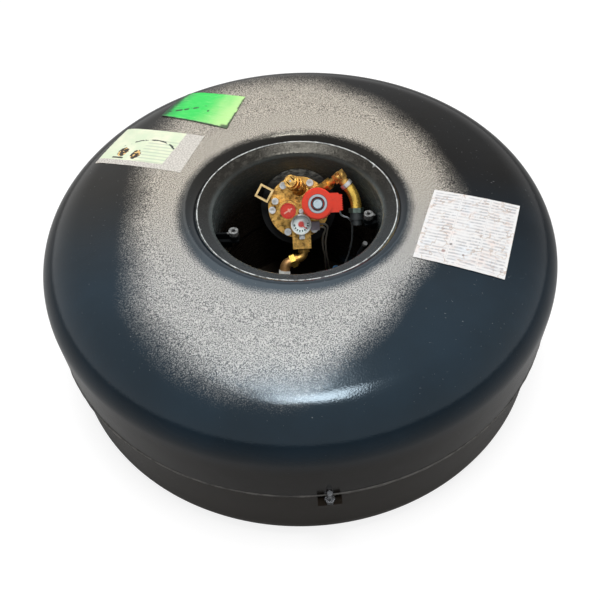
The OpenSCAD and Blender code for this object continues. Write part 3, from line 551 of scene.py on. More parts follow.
def moulded_plastic(name, colour, rough=0.35, dirt="#4a423c", cover=0.3, coat=0.0, grain=0.005):
    """Injection-moulded plastic: even colour, faint moulding texture, grime in patches."""
    material, shader = new_material(name, Roughness=rough, **{"IOR": 1.49, "Coat Weight": coat})
    where = object_space(shader)
    grime = times(patches(where, grain, 0.48, 0.8, 4.0, 0.7), cover)
    link(blend_colour(grime, rgba(colour), rgba(dirt)), shader, "Base Color")
    link(plus(grime, rough), shader, "Roughness")
    link(bump(noise(where, 0.0015, 2.0, 0.5), 0.00008, 0.5), shader, "Normal")
    return material


def marked_knob(name, colour):
    """Red polyamide knob: its raised arrow is rubbed pale, with dirt left in the moulded ring."""
    material, shader = new_material(name, Roughness=0.38, IOR=1.49)
    local = valve_space(shader)
    raised = ramp(parts_of(local)["Z"], KNOB_FACE - 0.00012, KNOB_FACE + 0.00012)
    grime = times(patches(local, 0.004, 0.42, 0.75, 4.0, 0.7), 0.35)
    base = blend_colour(grime, rgba(colour), rgba("#5a1a12"))
    link(blend_colour(times(raised, 0.85), base, rgba("#f6b9a4")), shader, "Base Color")
    return material


def ringed_disc(name, inner, outer, middle, ring, edge, metal):
    """A round part on the coil's axis, turned or moulded with a step: one tone in the middle, another in the ring that
    lies in the step's shade, a third at its edge."""
    material, shader = new_material(name, Roughness=0.3, Metallic=metal)
    local = valve_space(shader)
    out = distance(local, COIL_AT, scale=(1, 1, 0))
    base = blend_colour(ramp(out, inner - 0.0002, inner + 0.0002), rgba(middle), rgba(ring))
    base = stained(base, ramp(out, outer - 0.0002, outer + 0.0002), edge)
    grime = times(patches(local, 0.003, 0.5, 0.75, 4.0, 0.7), 0.4)
    link(blend_colour(grime, base, rgba("#5b5a57")), shader, "Base Color")
    return material


def printed_dial(name, look):
    """Pale printed card with a dark scale: short blocks round the lower part of the dial, for the pointer to read."""
    material, shader = new_material(name, Roughness=0.5)
    local = placed(valve_space(shader), location=[-c for c in GAUGE_AT])
    across = parts_of(local)
    angle = times(calc("ARCTAN2", across["Y"], across["X"]), 180 / math.pi)
    ring_at = distance(local, scale=(1, 1, 0))
    # ten blocks to a full turn of 200 degrees, below the pointer's hub
    saw = calc("MODULO", plus(angle, 400.0), 22.0)
    block = band(saw, 4.0, 17.0, 1.0)
    lower = ramp(across["Y"], 0.0018, 0.0008)
    scale = times(times(block, lower), band(ring_at, 0.0078, 0.0100, 0.0002))
    outline = band(ring_at, 0.0106, 0.0112, 0.0002)
    hub = ramp(ring_at, 0.0046, 0.0042)
    base = blend_colour(most(scale, times(outline, 0.5)), rgba(look.dial), rgba("#12403f"))
    link(blend_colour(times(hub, 0.8), base, rgba("#d9aeb0")), shader, "Base Color")
    return material


def bracket_metal(name, look, centre):
    """Dull zinc bush on an arm that was sprayed black with the tank: the plating shows only round the hole."""
    material, shader = new_material(name, Roughness=0.55)
    where = object_space(shader)
    ragged = drift(where, 0.006, 0.006, 3.0, 0.6)
    bare = ramp(plus(distance(where, centre=centre), ragged), 0.0098, 0.0078)
    grime = patches(where, 0.0035, 0.34, 0.66, 4.0, 0.7)
    zinc = blend_colour(times(grime, 0.85), rgba("#8e9090"), rgba("#34322f"))
    link(blend_colour(bare, rgba("#0c0f11"), zinc), shader, "Base Color")
    link(times(bare, 0.5), shader, "Metallic")
    link(plus(times(bare, 0.35), 0.06), shader, "Specular IOR Level")
    link(bump(noise(where, 0.0016, 3.0, 0.6), 0.0003, 0.8), shader, "Normal")
    return material


# ---------- shells ----------


def crown_corner(shape):
    """Centre of the outer bend (radius, height) and the angle from upright at which it meets the dome: both arcs have
    one tangent there, so that the bend's centre is (dome radius - bend radius) away from the dome's centre."""
    across = shape.tank_r - shape.bend
    run, reach = across - shape.flat_r, shape.dome_r - shape.bend
    return across, shape.tank_h - shape.dome_r + math.sqrt(reach**2 - run**2), math.degrees(math.asin(run / reach))


def crown_profile(shape):
    """Outer line of the upper shell from its inner lip to the seam: a quarter circle, a flat ring, an arc of the dome
    radius centred below the flat ring's edge, an arc of the bend radius and the straight wall."""
    inner, knuckle, top = shape.rim_r + GAP, shape.knuckle, shape.tank_h
    across, height, tilt = crown_corner(shape)
    lip = np.array([[inner, top - knuckle - 0.005]])
    turn = arc((inner + knuckle, top - knuckle), knuckle, 180, 90, 14)
    dome = arc((shape.flat_r, top - shape.dome_r), shape.dome_r, 90, 90 - tilt, 24)
    bend = arc((across, height), shape.bend, 90 - tilt, 0, 34)[1:]
    wall = np.stack([np.full(9, shape.tank_r), np.linspace(height, shape.seam_z, 10)[1:]], -1)
    return np.vstack([lip, turn, dome, bend, wall])


def crown_height(shape, r):
    """Height of the upper shell's skin at radius r outside the inner bend: flat, then the dome, then the bend."""
    across, height, tilt = crown_corner(shape)
    dome = shape.tank_h - shape.dome_r + np.sqrt(shape.dome_r**2 - np.clip(r - shape.flat_r, 0, None) ** 2)
    bend = height + np.sqrt(np.clip(shape.bend**2 - (r - across) ** 2, 0, None))
    meets = shape.flat_r + shape.dome_r * math.sin(math.radians(tilt))
    return np.where(r < meets, dome, bend)


def thick_section(outline, wall):
    """Closes an open line into a sheet: the line, then the same line moved inwards along its normals, backwards."""
    step = np.gradient(outline, axis=0)
    step /= np.linalg.norm(step, axis=1)[:, None]
    inside = outline + wall * np.stack([step[:, 1], -step[:, 0]], -1)
    return np.vstack([outline, inside[::-1]])


def shell_piece(name, outline, shape, material, node):
    section = thick_section(outline, shape.wall)
    points = revolved(section, shape.segments)
    piece = mesh_piece(name, points, grid_faces(len(section), shape.segments, True, True))
    return finish(sharpen(outward(piece), 40), material, "tank_paint", node)


class AUTOGAS_OT_upper_shell(bpy.types.Operator):
    """Upper shell: a crowned, pressed ring"""

    bl_idname = "autogas.upper_shell"
    bl_label = "Upper Shell"

    def execute(self, context):
        shape, look = context.scene.autogas_shape, context.scene.autogas_paint
        # black stove enamel on steel: smooth blue-black gloss round a dull grey patch of painted, sparkling highlight
        enamel = textured_enamel("black_textured_enamel", look, look.body, painted_sheen_share=1.0)
        shell_piece("upper_shell_sheet", crown_profile(shape), shape, enamel, "upper_shell")
        return {"FINISHED"}


class AUTOGAS_OT_lower_shell(bpy.types.Operator):
    """Lower shell: a flat-bottomed ring that reaches up inside the upper one"""

    bl_idname = "autogas.lower_shell"
    bl_label = "Lower Shell"

    def execute(self, context):
        shape, look = context.scene.autogas_shape, context.scene.autogas_paint
        outer, inner = shape.tank_r - shape.wall - GAP, shape.well_r + shape.wall + GAP
        # how far the shell reaches up inside the upper one, its two bends, and its lip by the well
        overlap, heel, toe, lip = 0.012, 0.035, 0.016, 0.005
        side = np.stack([np.full(8, outer), np.linspace(shape.seam_z + overlap, heel + 0.001, 8)], -1)
        turn = arc((outer - heel, heel), heel, 0, -90, 16)
        foot = np.stack([np.linspace(outer - heel - 0.003, inner + toe + 0.003, 20), np.zeros(20)], -1)
        inward = arc((inner + toe, toe), toe, -90, -180, 10)
        outline = np.vstack([side, turn, foot, inward, [[inner, toe + lip]]])
        # the same enamel, browner and darker, with a softer gloss
        enamel = textured_enamel("brown_black_enamel", look, look.foot, peel=0.8, gloss=0.26, dust=0.8)
        shell_piece("lower_shell_sheet", outline, shape, enamel, "lower_shell")
        return {"FINISHED"}


class AUTOGAS_OT_well(bpy.types.Operator):
    """Well wall with its flared collar, floor and valve neck"""

    bl_idname = "autogas.well"
    bl_label = "Well"

    def execute(self, context):
        look = context.scene.autogas_paint
        # enamel with a heavy orange peel and painted light on its wall: wavering lights, a greyer wall
        glossy = textured_enamel("black_well_enamel", look, look.well, peel=2.5, dust=0.7, wall_light_and_smears=0.8)
        # painted shade: the floor's enamel is darkened to a third of the well's, so that it stays black between the
        # fittings; dull
        black = [channel * 0.35 for channel in look.well]
        floor = textured_enamel("shaded_floor_enamel", look, black, peel=0.3, gloss=0.3, dust=0.3, shine=0.2)
        paint_node("well_tube", glossy)
        paint_node("valve_neck", dusty_forging("black_neck_enamel", look))
        paint_node("well_floor", floor)
        return {"FINISHED"}


def bead_points(centre_r, centre_z, size, count, sides, ripple, runs):
    """Weld bead round the tank: a small circle of radius size (1 + ripple) turned about Z, where the ripple is a sum of
    sines of the angle; each run is a drip given by (angle, width, drop) that lowers the bead's underside."""
    a = np.linspace(0, 2 * math.pi, count, endpoint=False)[:, None]
    t = np.linspace(0, 2 * math.pi, sides, endpoint=False)[None, :]
    swell = sum(np.sin(k * a + k * k) for k in (7, 19, 43, 71, 113)) / 5
    radius = size * (1 + ripple * swell)
    drop = 0.0
    for at, wide, fall in runs:
        aside = (a - math.radians(at) + math.pi) % (2 * math.pi) - math.pi
        drop = drop + fall * np.exp(-((aside / wide) ** 2))
    r = centre_r + 0.12 * size * np.sin(5 * a + 1) + radius * np.cos(t) - drop * (np.sin(t) < 0)
    z = centre_z + radius * np.sin(t) - drop * 0.4 * (np.sin(t) < 0)
    return np.stack([r * np.cos(a), r * np.sin(a), z], -1)


class AUTOGAS_OT_welds(bpy.types.Operator):
    """Rippled weld beads at the girth and round the collar"""

    bl_idname = "autogas.welds"
    bl_label = "Welds"

    def execute(self, context):
        shape = context.scene.autogas_shape
        count, sides = 900, 10
        # painted highlight: the weld bead's enamel is painted pale grey as the light along its top, broken by dark
        # patches: a grey line round the girth
        enamel = plated_metal("bead_highlight_enamel", "#605e5a", 0.3, "#1c1a18", 0.8, 0.010, metal=0.0, relief=0.0004)
        low_r, bead = shape.tank_r - shape.wall - GAP, 0.0021
        girth = bead_points(low_r + bead + 0.0005, shape.seam_z - bead + 0.0001, bead, count, sides, 0.22, ())
        piece = mesh_piece("girth_weld_bead", girth, grid_faces(count, sides, True, True))
        finish(outward(piece), enamel, "tank_paint", "girth_weld")
        collar = bead_points(shape.rim_r + 0.0006, shape.tank_h - shape.rim_drop + 0.0004, 0.0007, count, sides, 0.35,
                             ((33.0, 0.012, 0.0035), (196.0, 0.010, 0.0020)))
        piece = mesh_piece("collar_sealer_bead", collar, grid_faces(count, sides, True, True))
        finish(outward(piece), sealer_bead("pale_seam_sealer"), "tank_paint", "rim_weld")
        return {"FINISHED"}


def sealer_bead(name):
    """Pale seam sealer brushed into the groove round the collar: white and dull, rubbed off in places, so that a thin
    broken line rings the well."""
    material, shader = new_material(name, Roughness=0.45, IOR=1.49)
    where = object_space(shader)
    bare = patches(where, 0.012, 0.48, 0.58, 5.0, 0.75)
    front = ramp(parts_of(where)["Y"], -0.070, -0.110)
    gone = times(bare, plus(times(front, 0.35), 0.60))
    link(blend_colour(gone, rgba("#dfe2e0"), rgba("#3c4245")), shader, "Base Color")
    return material


class AUTOGAS_OT_brackets(bpy.types.Operator):
    """Lid brackets in the well and the lug on the side"""

    bl_idname = "autogas.brackets"
    bl_label = "Brackets and Lug"

    def execute(self, context):
        scene = context.scene
        look = scene.autogas_valve
        # zinc-plated steel under old grease: grey glints between black patches
        zinc = plated_metal("dirty_zinc_plated_steel", "#83868a", 0.25, "#161616", 0.9, metal=0.7)
        # the tank's enamel on the pressed lug, with half the orange peel
        enamel = textured_enamel("black_lug_enamel", scene.autogas_paint, scene.autogas_paint.foot, peel=0.5)
        paint_node("left_lid_bracket", bracket_metal("left_bush_zinc_and_enamel", look, (-0.0805, 0.003, 0.2)))
        paint_node("right_lid_bracket", bracket_metal("right_bush_zinc_and_enamel", look, (0.090, 0.021, 0.2)))
        for node in ("lug_stud", "lug_nut"):
            paint_node(node, zinc)
        paint_node("side_lug", enamel)
        return {"FINISHED"}


# ---------- labels ----------


def label_sheet(name, corners, shape, node, material, slot, along=(0.0, 1.0), across=(0.0, 1.0), curl=0.0):
    """A thin label on the crown. A plan point is the bilinear mix of the four corners, with u and v in the two spans;
    its height is the crown's height there, plus a lift, plus a curl that grows with the fourth power of the distance
    from the label's middle. The same points set back by the label's thickness close the sheet underneath."""
    a, b, c, d = (np.array(corner, float) * MM for corner in corners)
    u, v = np.meshgrid(np.linspace(*along, 56), np.linspace(*across, 48), indexing="ij")
    u, v = u[..., None], v[..., None]
    plan = (1 - u) * (1 - v) * a + u * (1 - v) * b + u * v * c + (1 - u) * v * d
    share = np.concatenate([(u - along[0]) / (along[1] - along[0]), (v - across[0]) / (across[1] - across[0])], -1)
    off = np.abs(2 * share - 1).max(-1)
    wrinkle = 0.00012 * np.sin(31 * u + 5 * np.sin(9 * v)) * np.sin(23 * v + 2)
    height = crown_height(shape, np.linalg.norm(plan, axis=-1)) + 0.0005 + wrinkle[..., 0] + curl * off**12
    top = np.concatenate([plan, height[..., None]], -1)
    under = top - [0, 0, 0.0004]
    rows, cols = u.shape[:2]
    loop = np.concatenate([top, under[:, ::-1]], 1)
    faces = grid_faces(rows, 2 * cols, False, True).tolist()
    ends = np.arange(cols - 1)
    for base in (0, (rows - 1) * 2 * cols):
        faces += (base + np.stack([ends, ends + 1, 2 * cols - 2 - ends, 2 * cols - 1 - ends], -1)).tolist()
    piece = mesh_piece(name, loop, faces)
    width, depth = np.linalg.norm(b - a), np.linalg.norm(d - a)
    flat = np.concatenate([u * width, v * depth], -1)
    own = np.concatenate([flat, flat[:, ::-1]], 1).reshape(-1, 2)
    layer = piece.data.uv_layers.new(name="sheet")
    corner_of = np.zeros(len(piece.data.loops), int)
    piece.data.loops.foreach_get("vertex_index", corner_of)
    layer.data.foreach_set("uv", own[corner_of].ravel())
    return finish(sharpen(outward(piece), 50), material, slot, *node)


def print_rows(sheet, pitch, fill=0.5, word=0.011):
    """Printed lines too small to read: bands one pitch apart that waver a little, broken into words by noise along the
    line and faded in patches."""
    xy = parts_of(sheet)
    waver = drift(sheet, 0.02, 0.9, 3.0, 0.6)
    row = plus(calc("DIVIDE", xy["Y"], pitch), waver)
    number = calc("FLOOR", row)
    stripe = band(calc("MODULO", row, 1.0), 0.40, 0.60, 0.26)
    along = add(tree_of(sheet), "ShaderNodeCombineXYZ", {"X": xy["X"], "Y": times(number, 0.37), "Z": 0.0}).outputs[0]
    words = patches(along, word, 0.58 - fill * 0.3, 0.74 - fill * 0.3, 3.0, 0.7)
    faded = patches(sheet, 0.018, 0.32, 0.62, 3.0, 0.6)
    return times(times(stripe, words), plus(times(faded, 0.75), 0.25))


def data_print(name, look):
    """White polyester label with fuzzy grey print in three columns, ruled boxes, and pink and brown water stains."""
    material, shader = new_material(name, Roughness=0.42, IOR=1.45)
    sheet = sheet_space(shader)
    xy = parts_of(sheet)
    stain = patches(sheet, 0.022, 0.48, 0.72, 4.0, 0.65)
    base = blend_colour(times(stain, 0.55), rgba(look.paper), rgba("#ecd6cb"))
    damp = patches(placed(sheet, location=(0.3, 0.1, 0)), 0.03, 0.52, 0.74, 3.0, 0.6)
    base = stained(base, times(damp, 0.5), "#dfe6ec")
    # brown tide lines left by water
    tide = noise(sheet, 0.030, 3.0, 0.6)
    lines = times(band(tide, 0.485, 0.495, 0.012), patches(sheet, 0.02, 0.35, 0.6, 3.0, 0.6))
    base = stained(base, times(lines, 0.6), "#b59a83")
    # print in three columns, with clear gaps between them and a clear margin
    ink = print_rows(sheet, look.line_pitch, 0.75)
    gaps = most(band(xy["X"], 0.0330, 0.0352, 0.0006), band(xy["X"], 0.0672, 0.0690, 0.0006))
    inside = times(band(xy["X"], 0.004, 0.097, 0.0015), band(xy["Y"], 0.007, 0.112, 0.0015))
    ink = times(times(ink, inside), calc("SUBTRACT", 1.0, gaps))
    # thin rules across the label and posts between its columns
    rules = times(band(calc("MODULO", xy["Y"], 0.0150), 0.0002, 0.0005, 0.0004), inside)
    posts = most(band(xy["X"], 0.0338, 0.0342, 0.0003), band(xy["X"], 0.0679, 0.0682, 0.0003))
    posts = times(posts, inside)
    marks = most(times(ink, 0.46), times(rules, 0.22), times(posts, 0.20))
    base = stained(base, marks, look.ink)
    # three specks of dirt
    specks = (
        ((0.036, 0.086, 0), 0.0016, "#3a2b28"),
        ((0.030, 0.098, 0), 0.0020, "#8a6258"),
        ((0.052, 0.098, 0), 0.0013, "#6d5a55"),
    )
    for centre, radius, colour in specks:
        near = plus(distance(sheet, centre), times(noise(sheet, 0.003, 3.0, 0.7), 0.002))
        base = stained(base, times(ramp(near, radius * 1.5 + 0.001, radius * 0.6 + 0.001), 0.75), colour)
    link(base, shader, "Base Color")
    link(bump(noise(sheet, 0.012, 3.0, 0.5), 0.0004, 0.5), shader, "Normal")
    return material


def green_print(name, look):
    """Green foil label: strong at its outer end, bleached to pale yellow-green towards the well, with its dark glue
    showing along the torn edges and in dashes where the foil cracked."""
    material, shader = new_material(name, Roughness=0.36, IOR=1.45)
    sheet = sheet_space(shader)
    xy = parts_of(sheet)
    outward_x = plus(xy["X"], drift(sheet, 0.03, 0.035, 4.0, 0.6))
    bleach = ramp(plus(outward_x, times(xy["Y"], -0.15)), 0.040, 0.092)
    base = blend_colour(bleach, rgba(look.green), rgba("#bdee98"))
    base = stained(base, ramp(outward_x, 0.022, 0.0), "#17ad4a")
    streaks = patches(placed(sheet, scale=(1, 7, 1)), 0.02, 0.50, 0.78, 4.0, 0.7)
    base = stained(base, times(streaks, 0.35), "#d6fbc0")
    # glue at the torn near edge, at the outer end, in a row of cracks, in one spot and along the frayed far edges
    rough = drift(sheet, 0.008, 0.006, 4.0, 0.7)
    low = ramp(plus(xy["Y"], rough), -0.0010, -0.0032)
    end = ramp(plus(xy["X"], times(rough, 2.0)), 0.008, 0.002)
    cracks = times(band(plus(xy["Y"], times(xy["X"], -0.50)), 0.0045, 0.0075, 0.0012),
                   patches(sheet, 0.008, 0.42, 0.50, 2.0, 0.5))
    cracks = times(cracks, ramp(xy["X"], 0.056, 0.046))
    spot = ramp(distance(sheet, (0.058, 0.022, 0)), 0.0022, 0.0010)
    tear = times(ramp(plus(xy["Y"], rough), 0.0665, 0.0685), ramp(xy["X"], 0.066, 0.080))
    frayed = most(ramp(plus(xy["Y"], rough), 0.0690, 0.0705), ramp(plus(xy["X"], rough), 0.0965, 0.0985))
    frayed = times(frayed, patches(sheet, 0.012, 0.46, 0.56, 3.0, 0.6))
    corner = times(ramp(plus(xy["X"], rough), 0.086, 0.092), ramp(plus(xy["Y"], rough), 0.004, 0.000))
    marks = most(low, end, cracks, spot, frayed, corner, times(tear, 0.8))
    link(blend_colour(times(marks, 0.9), base, rgba("#0f2a1a")), shader, "Base Color")
    return material


def approval_print(name, look):
    """Bleached label: pale green stock, an arc of dark dashes, two amber and black hazard marks and faint ruled lines;
    past its torn end only grey glue is left on the paint."""
    material, shader = new_material(name, Roughness=0.45, IOR=1.45)
    sheet = sheet_space(shader)
    xy = parts_of(sheet)
    cloud = patches(sheet, 0.03, 0.35, 0.7, 4.0, 0.6)
    base = blend_colour(cloud, rgba(look.pale), rgba("#f2f3d9"))
    # faint ruled lines towards the well
    lines = band(calc("MODULO", xy["Y"], 0.0062), 0.0010, 0.0022, 0.0010)
    lines = times(lines, band(xy["X"], 0.052, 0.090, 0.004))
    base = stained(base, times(times(lines, ramp(xy["Y"], 0.052, 0.046)), 0.35), "#93a596")
    # the arc of dashes, ragged
    wobble = drift(sheet, 0.006, 0.0035, 3.0, 0.7)
    round_at = plus(distance(sheet, (0.058, 0.012, 0), scale=(0.82, 1.0, 1.0)), wobble)
    arc_mark = times(band(round_at, 0.0330, 0.0344, 0.0008), patches(sheet, 0.010, 0.46, 0.50, 2.0, 0.5))
    arc_mark = times(arc_mark, ramp(xy["Y"], 0.024, 0.030))
    base = stained(base, arc_mark, "#17251d")
    # two amber marks with black patches in them, and a short bar below the first
    for centre in ((0.026, 0.016, 0), (0.046, 0.013, 0)):
        near = plus(distance(sheet, centre, scale=(1.25, 0.85, 1)), times(wobble, 2.0))
        patch = noise(placed(sheet, location=(centre[0] * 40, 0, 0)), 0.0052, 1.0, 0.5)
        base = stained(base, times(ramp(near, 0.0082, 0.0070), 0.9), "#e8b968")
        base = stained(base, times(ramp(near, 0.0086, 0.0074), ramp(patch, 0.43, 0.47)), "#241a12")
    bar = times(band(xy["X"], 0.018, 0.032, 0.001), band(xy["Y"], 0.0030, 0.0050, 0.0008))
    base = stained(base, bar, "#1b1512")
    # past the torn end and edge only speckled glue is left
    torn = ramp(plus(plus(xy["X"], times(xy["Y"], -0.05)), wobble), 0.0895, 0.0905)
    torn = most(torn, ramp(plus(xy["Y"], times(wobble, 0.5)), 0.0005, -0.0005))
    glue = blend_colour(patches(sheet, 0.0018, 0.35, 0.65, 3.0, 0.6), rgba("#b0aaa2"), rgba("#e2ded6"))
    link(blend_colour(torn, base, glue), shader, "Base Color")
    return material


class AUTOGAS_OT_labels(bpy.types.Operator):
    """Three adhesive labels that follow the crown"""

    bl_idname = "autogas.labels"
    bl_label = "Labels"

    def execute(self, context):
        look, shape = context.scene.autogas_labels, context.scene.autogas_shape
        label_sheet("data_label_sheet", ((166, 6), (263, -22), (222, -131), (127, -97)), shape, ("data_label",),
                    data_print("white_polyester_label", look), "white_label", across=(0.03, 1.06), curl=0.0006)
        label_sheet("green_label_sheet", ((-175, 189), (-85, 146), (-62, 215), (-143, 243)), shape, ("green_label",),
                    green_print("green_foil_label", look), "green_foil", across=(-0.07, 0.97), curl=0.0010)
        label_sheet("approval_label_sheet", ((-252, 106), (-161, 75), (-136, 136), (-222, 166)), shape,
                    ("approval_label",), approval_print("bleached_paper_label", look), "pale_label",
                    along=(0.0, 1.24), across=(-0.14, 1.0))
        return {"FINISHED"}


# ---------- leads ----------


class AUTOGAS_OT_leads(bpy.types.Operator):
    """Two black leads of the gauge sensor and the grey lead of the coil"""

    bl_idname = "autogas.leads"
    bl_label = "Leads"

    def execute(self, context):
        # black PVC painted pale grey, with paler patches, as the light along the leads: they stand out from the dark
        # well
        black = moulded_plastic("pale_lit_lead_sheath", "#b4aea2", 0.35, "#c8beae", 0.75, grain=0.006)
        # grey PVC, cooler than the pale-painted pair
        grey = moulded_plastic("grey_lead_sheath", "#b4bcc2", 0.35, "#d8d4ca", 0.5, grain=0.006)
        for name, route, node, colour, slot, end, extras, length in LEADS:
            path = smooth_route(route, 2)
            piece = mesh_piece(name, tube(path, LEAD_R, 12), tube_faces(len(path), 12))
            finish(outward(piece), {"black": black, "grey": grey}[colour], slot, node)
        # blue and white insulating sleeves: small clean spots of colour at the leads' ends
        blue = moulded_plastic("blue_terminal_sleeve", "#84c4ff", 0.3, cover=0.1)
        white = moulded_plastic("white_lead_sleeve", "#f6f6f2", 0.4, cover=0.1)
        paint_node("ring_terminal", blue)
        paint_node("lead_sleeve", white)
        return {"FINISHED"}


# route points in millimetres, as in the part's source
LEAD_A = [[28.55, 36, 171.3], [31.8, 36, 171.3], [35.6, 36.4, 170], [38.4, 37.1, 166], [39, 38, 160],
          [37.6, 39, 148], [36.2, 40, 134], [36.6, 42, 118], [38, 46, 100], [40, 52, 82], [41, 60, 64],
          [41.6, 66, 51], [43, 70.4, 43.4], [47, 73.6, 39.9]]
LEAD_B = [[28.55, 33.4, 168.2], [31.2, 33.4, 168.2], [34.2, 33.9, 166.6], [35.6, 35, 162.6], [35, 36.4, 156.6],
          [33, 38.2, 147], [32, 40, 134], [33, 42, 118], [35, 47, 100], [36, 54, 80], [37, 62, 60],
          [37, 66.4, 49.6], [35.6, 69, 43.6], [32.4, 70.2, 40], [28.4, 70.4, 39.3], [24, 69.6, 39.3]]
COIL_LEAD = [[55, 37.3, 193], [55, 35.4, 190.7], [56.4, 34.4, 187.4], [60, 35, 183.5], [65, 37, 179],
             [69, 40, 171], [72, 45, 158], [73, 50, 138], [73, 55, 116], [71, 61, 92], [68, 66, 70], [65, 69, 52],
             [63, 71, 44]]
LEADS = [
    ("gauge_lead_long", LEAD_A, "gauge_lead_a", "black", "lead_sheath", "connector", ["ring_terminal"], 0.148),
    ("gauge_lead_short", LEAD_B, "gauge_lead_b", "black", "lead_sheath", "bare", [], 0.149),
    ("coil_supply_lead", COIL_LEAD, "coil_lead", "grey", "grey_sheath", "connector", ["lead_sleeve"], 0.161),
]


def coil_spring(node, material):
    """The node's own coils, copied with their triangles joined, on a mesh of their own."""
    piece = merged_copy(node, f"{node}_coils", "tank", 60)
    finish(piece, material, "spring_steel")
    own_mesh(piece)


class AUTOGAS_OT_valve(bpy.types.Operator):
    """Brass valve body, coil, knob, gauge and fittings"""

    bl_idname = "autogas.valve"
    bl_label = "Valve"

    def execute(self, context):
        look = context.scene.autogas_valve
        # forged brass, gone brown in its hollows: broken gold; a part of it shades like a dull surface
        brass = plated_metal("tarnished_forged_brass", look.brass, 0.30, "#2c1a0a", 0.85, metal=0.8, relief=0.0006)
        # newly turned brass: yellow, with sharp lights along its flats
        bright = plated_metal("bright_turned_brass", look.bright, 0.24, "#5a3812", 0.6, 0.006, metal=0.8)
        # folded brass strip: paler and duller than the forging
        strap = plated_metal("pale_folded_brass", "#e0c48c", 0.36, "#6b4a22", 0.5, 0.006, metal=0.65)
        # bent copper alloy tube: redder than the brass beside it
        copper = plated_metal("tarnished_copper_alloy", look.copper, 0.3, "#4a2a12", 0.5, 0.006, metal=0.6)
        # varnished copper wire, wound inside the coil: deep orange
        winding = plated_metal("enamelled_copper_wire", "#b5622c", 0.3, "#3a2f20", 0.35, 0.006, metal=0.9)
        # dull zinc on screws and collars: soft grey with dirt in the slots
        zinc = plated_metal("dull_zinc_plating", look.zinc, 0.3, "#6a6459", 0.45, 0.006, metal=0.75)
        # painted highlight: the zinc on the outlet's nut is painted nearly white and dull, as the light on it: the
        # palest metal here
        bright_zinc = plated_metal("painted_highlight_zinc", "#f4f4ee", 0.4, "#8a8880", 0.2, 0.006, metal=0.1)
        # passivated zinc on the inlet's nut: dark, with a green cast
        nut_plating = plated_metal("green_grey_zinc_plating", "#5f6f68", 0.3, "#20241f", 0.5, 0.006, metal=0.7)
        # plain steel, indoors and clean: neutral and even
        steel = plated_metal("stainless_steel", "#b9bcbe", 0.25, "#55524c", 0.25, 0.006, metal=1.0)
        # drawn steel wire: darker than the turned steel
        spring = plated_metal("spring_steel", "#8f9498", 0.3, "#38352f", 0.3, 0.006, metal=1.0)
        # steel washer with a step: a dark well inside a pale ring
        washer = ringed_disc("stepped_steel_washer", 0.0090, 0.0118, "#20242a", "#aeb9c0", "#4a4e52", 0.6)
        # moulded cap over the coil's nut: a pale blue disc with a dark rim
        cap = ringed_disc("pale_blue_moulded_cap", 0.0056, 0.0066, "#c8dbe6", "#39424a", "#12161a", 0.0)
        # glass-filled nylon of the coil: saturated red, half dull
        red = moulded_plastic("red_polyamide", look.red, 0.36, "#6a1810", 0.35)
        # pointer: a paler, duller red than the coil
        pointer = moulded_plastic("red_pointer_plastic", "#e2504a", 0.4, "#6a1810", 0.1)
        # white nylon of the gauge: cool white with grey-green grime
        ivory = moulded_plastic("ivory_polyamide", "#f2f7f4", 0.38, "#6f8a86", 0.35)
        # closed-cell foam: dull and cream
        float_foam = moulded_plastic("float_foam", "#d8d2c0", 0.6)
        # grey nylon plug: slightly violet beside the brass
        grey = moulded_plastic("grey_polyamide", "#8d8590", 0.45, "#4c4550", 0.4)
        # rubber of the gasket and of the hose, plastic coat of the pipe: three blacks, from dull to half glossy
        rubber = moulded_plastic("black_rubber", "#1c1d1f", 0.6)
        hose = moulded_plastic("black_hose_rubber", "#23282a", 0.5, "#4f5a58", 0.4)
        coated = moulded_plastic("black_pipe_coating", "#25292d", 0.35, "#5b5f60", 0.4)
        knob = marked_knob("rubbed_red_polyamide", "#df3a26")
        dial = printed_dial("printed_dial_card", look)
        for material, nodes in (
            (brass, ("valve_body", "relief_body", "inlet_elbow", "outlet_elbow")),
            (bright, ("inlet_bend", "outlet_union_nut")),
            (strap, ("loop_bracket",)),
            (copper, ("outlet_bend", "pickup_tube")),
            (winding, ("coil_winding",)),
            (zinc, ("flange_screws", "port_plug", "gauge_screws", "inlet_collar", "pipe_ferrule")),
            (nut_plating, ("inlet_end_nut",)),
            (bright_zinc, ("outlet_end_nut",)),
            (washer, ("coil_washer",)),
            (cap, ("coil_nut",)),
            (steel, ("relief_poppet", "tap_stem", "coil_core_tube", "coil_plunger", "gauge_tube", "float_arm",
                     "pickup_filter")),
            (red, ("coil_body",)),
            (pointer, ("gauge_needle",)),
            (knob, ("tap_knob",)),
            (ivory, ("gauge_housing",)),
            (dial, ("gauge_dial",)),
            (grey, ("sensor_plug",)),
            (float_foam, ("float",)),
            (rubber, ("flange_gasket",)),
            (hose, ("inlet_hose",)),
            (coated, ("cut_pipe",)),
        ):
            for node in nodes:
                paint_node(node, material)
        coil_spring("relief_spring", spring)
        coil_spring("plunger_spring", spring)
        # clear polycarbonate window: the dial is seen through it, with a faint gloss
        clear = {"Transmission Weight": 1.0, "Roughness": 0.06, "IOR": 1.2, "Alpha": 0.06}
        paint_node("gauge_lens", new_material("clear_polycarbonate", **clear)[0])
        return {"FINISHED"}


# ---------- stage ----------


def emitter(tree, kind, tone, strength):
    return add(tree, kind, {"Color": rgba((tone, tone, tone)), "Strength": strength}).outputs[0]


def matt(tree, tone):
    return add(tree, "ShaderNodeBsdfDiffuse", {"Color": rgba((tone, tone, tone))}).outputs[0]


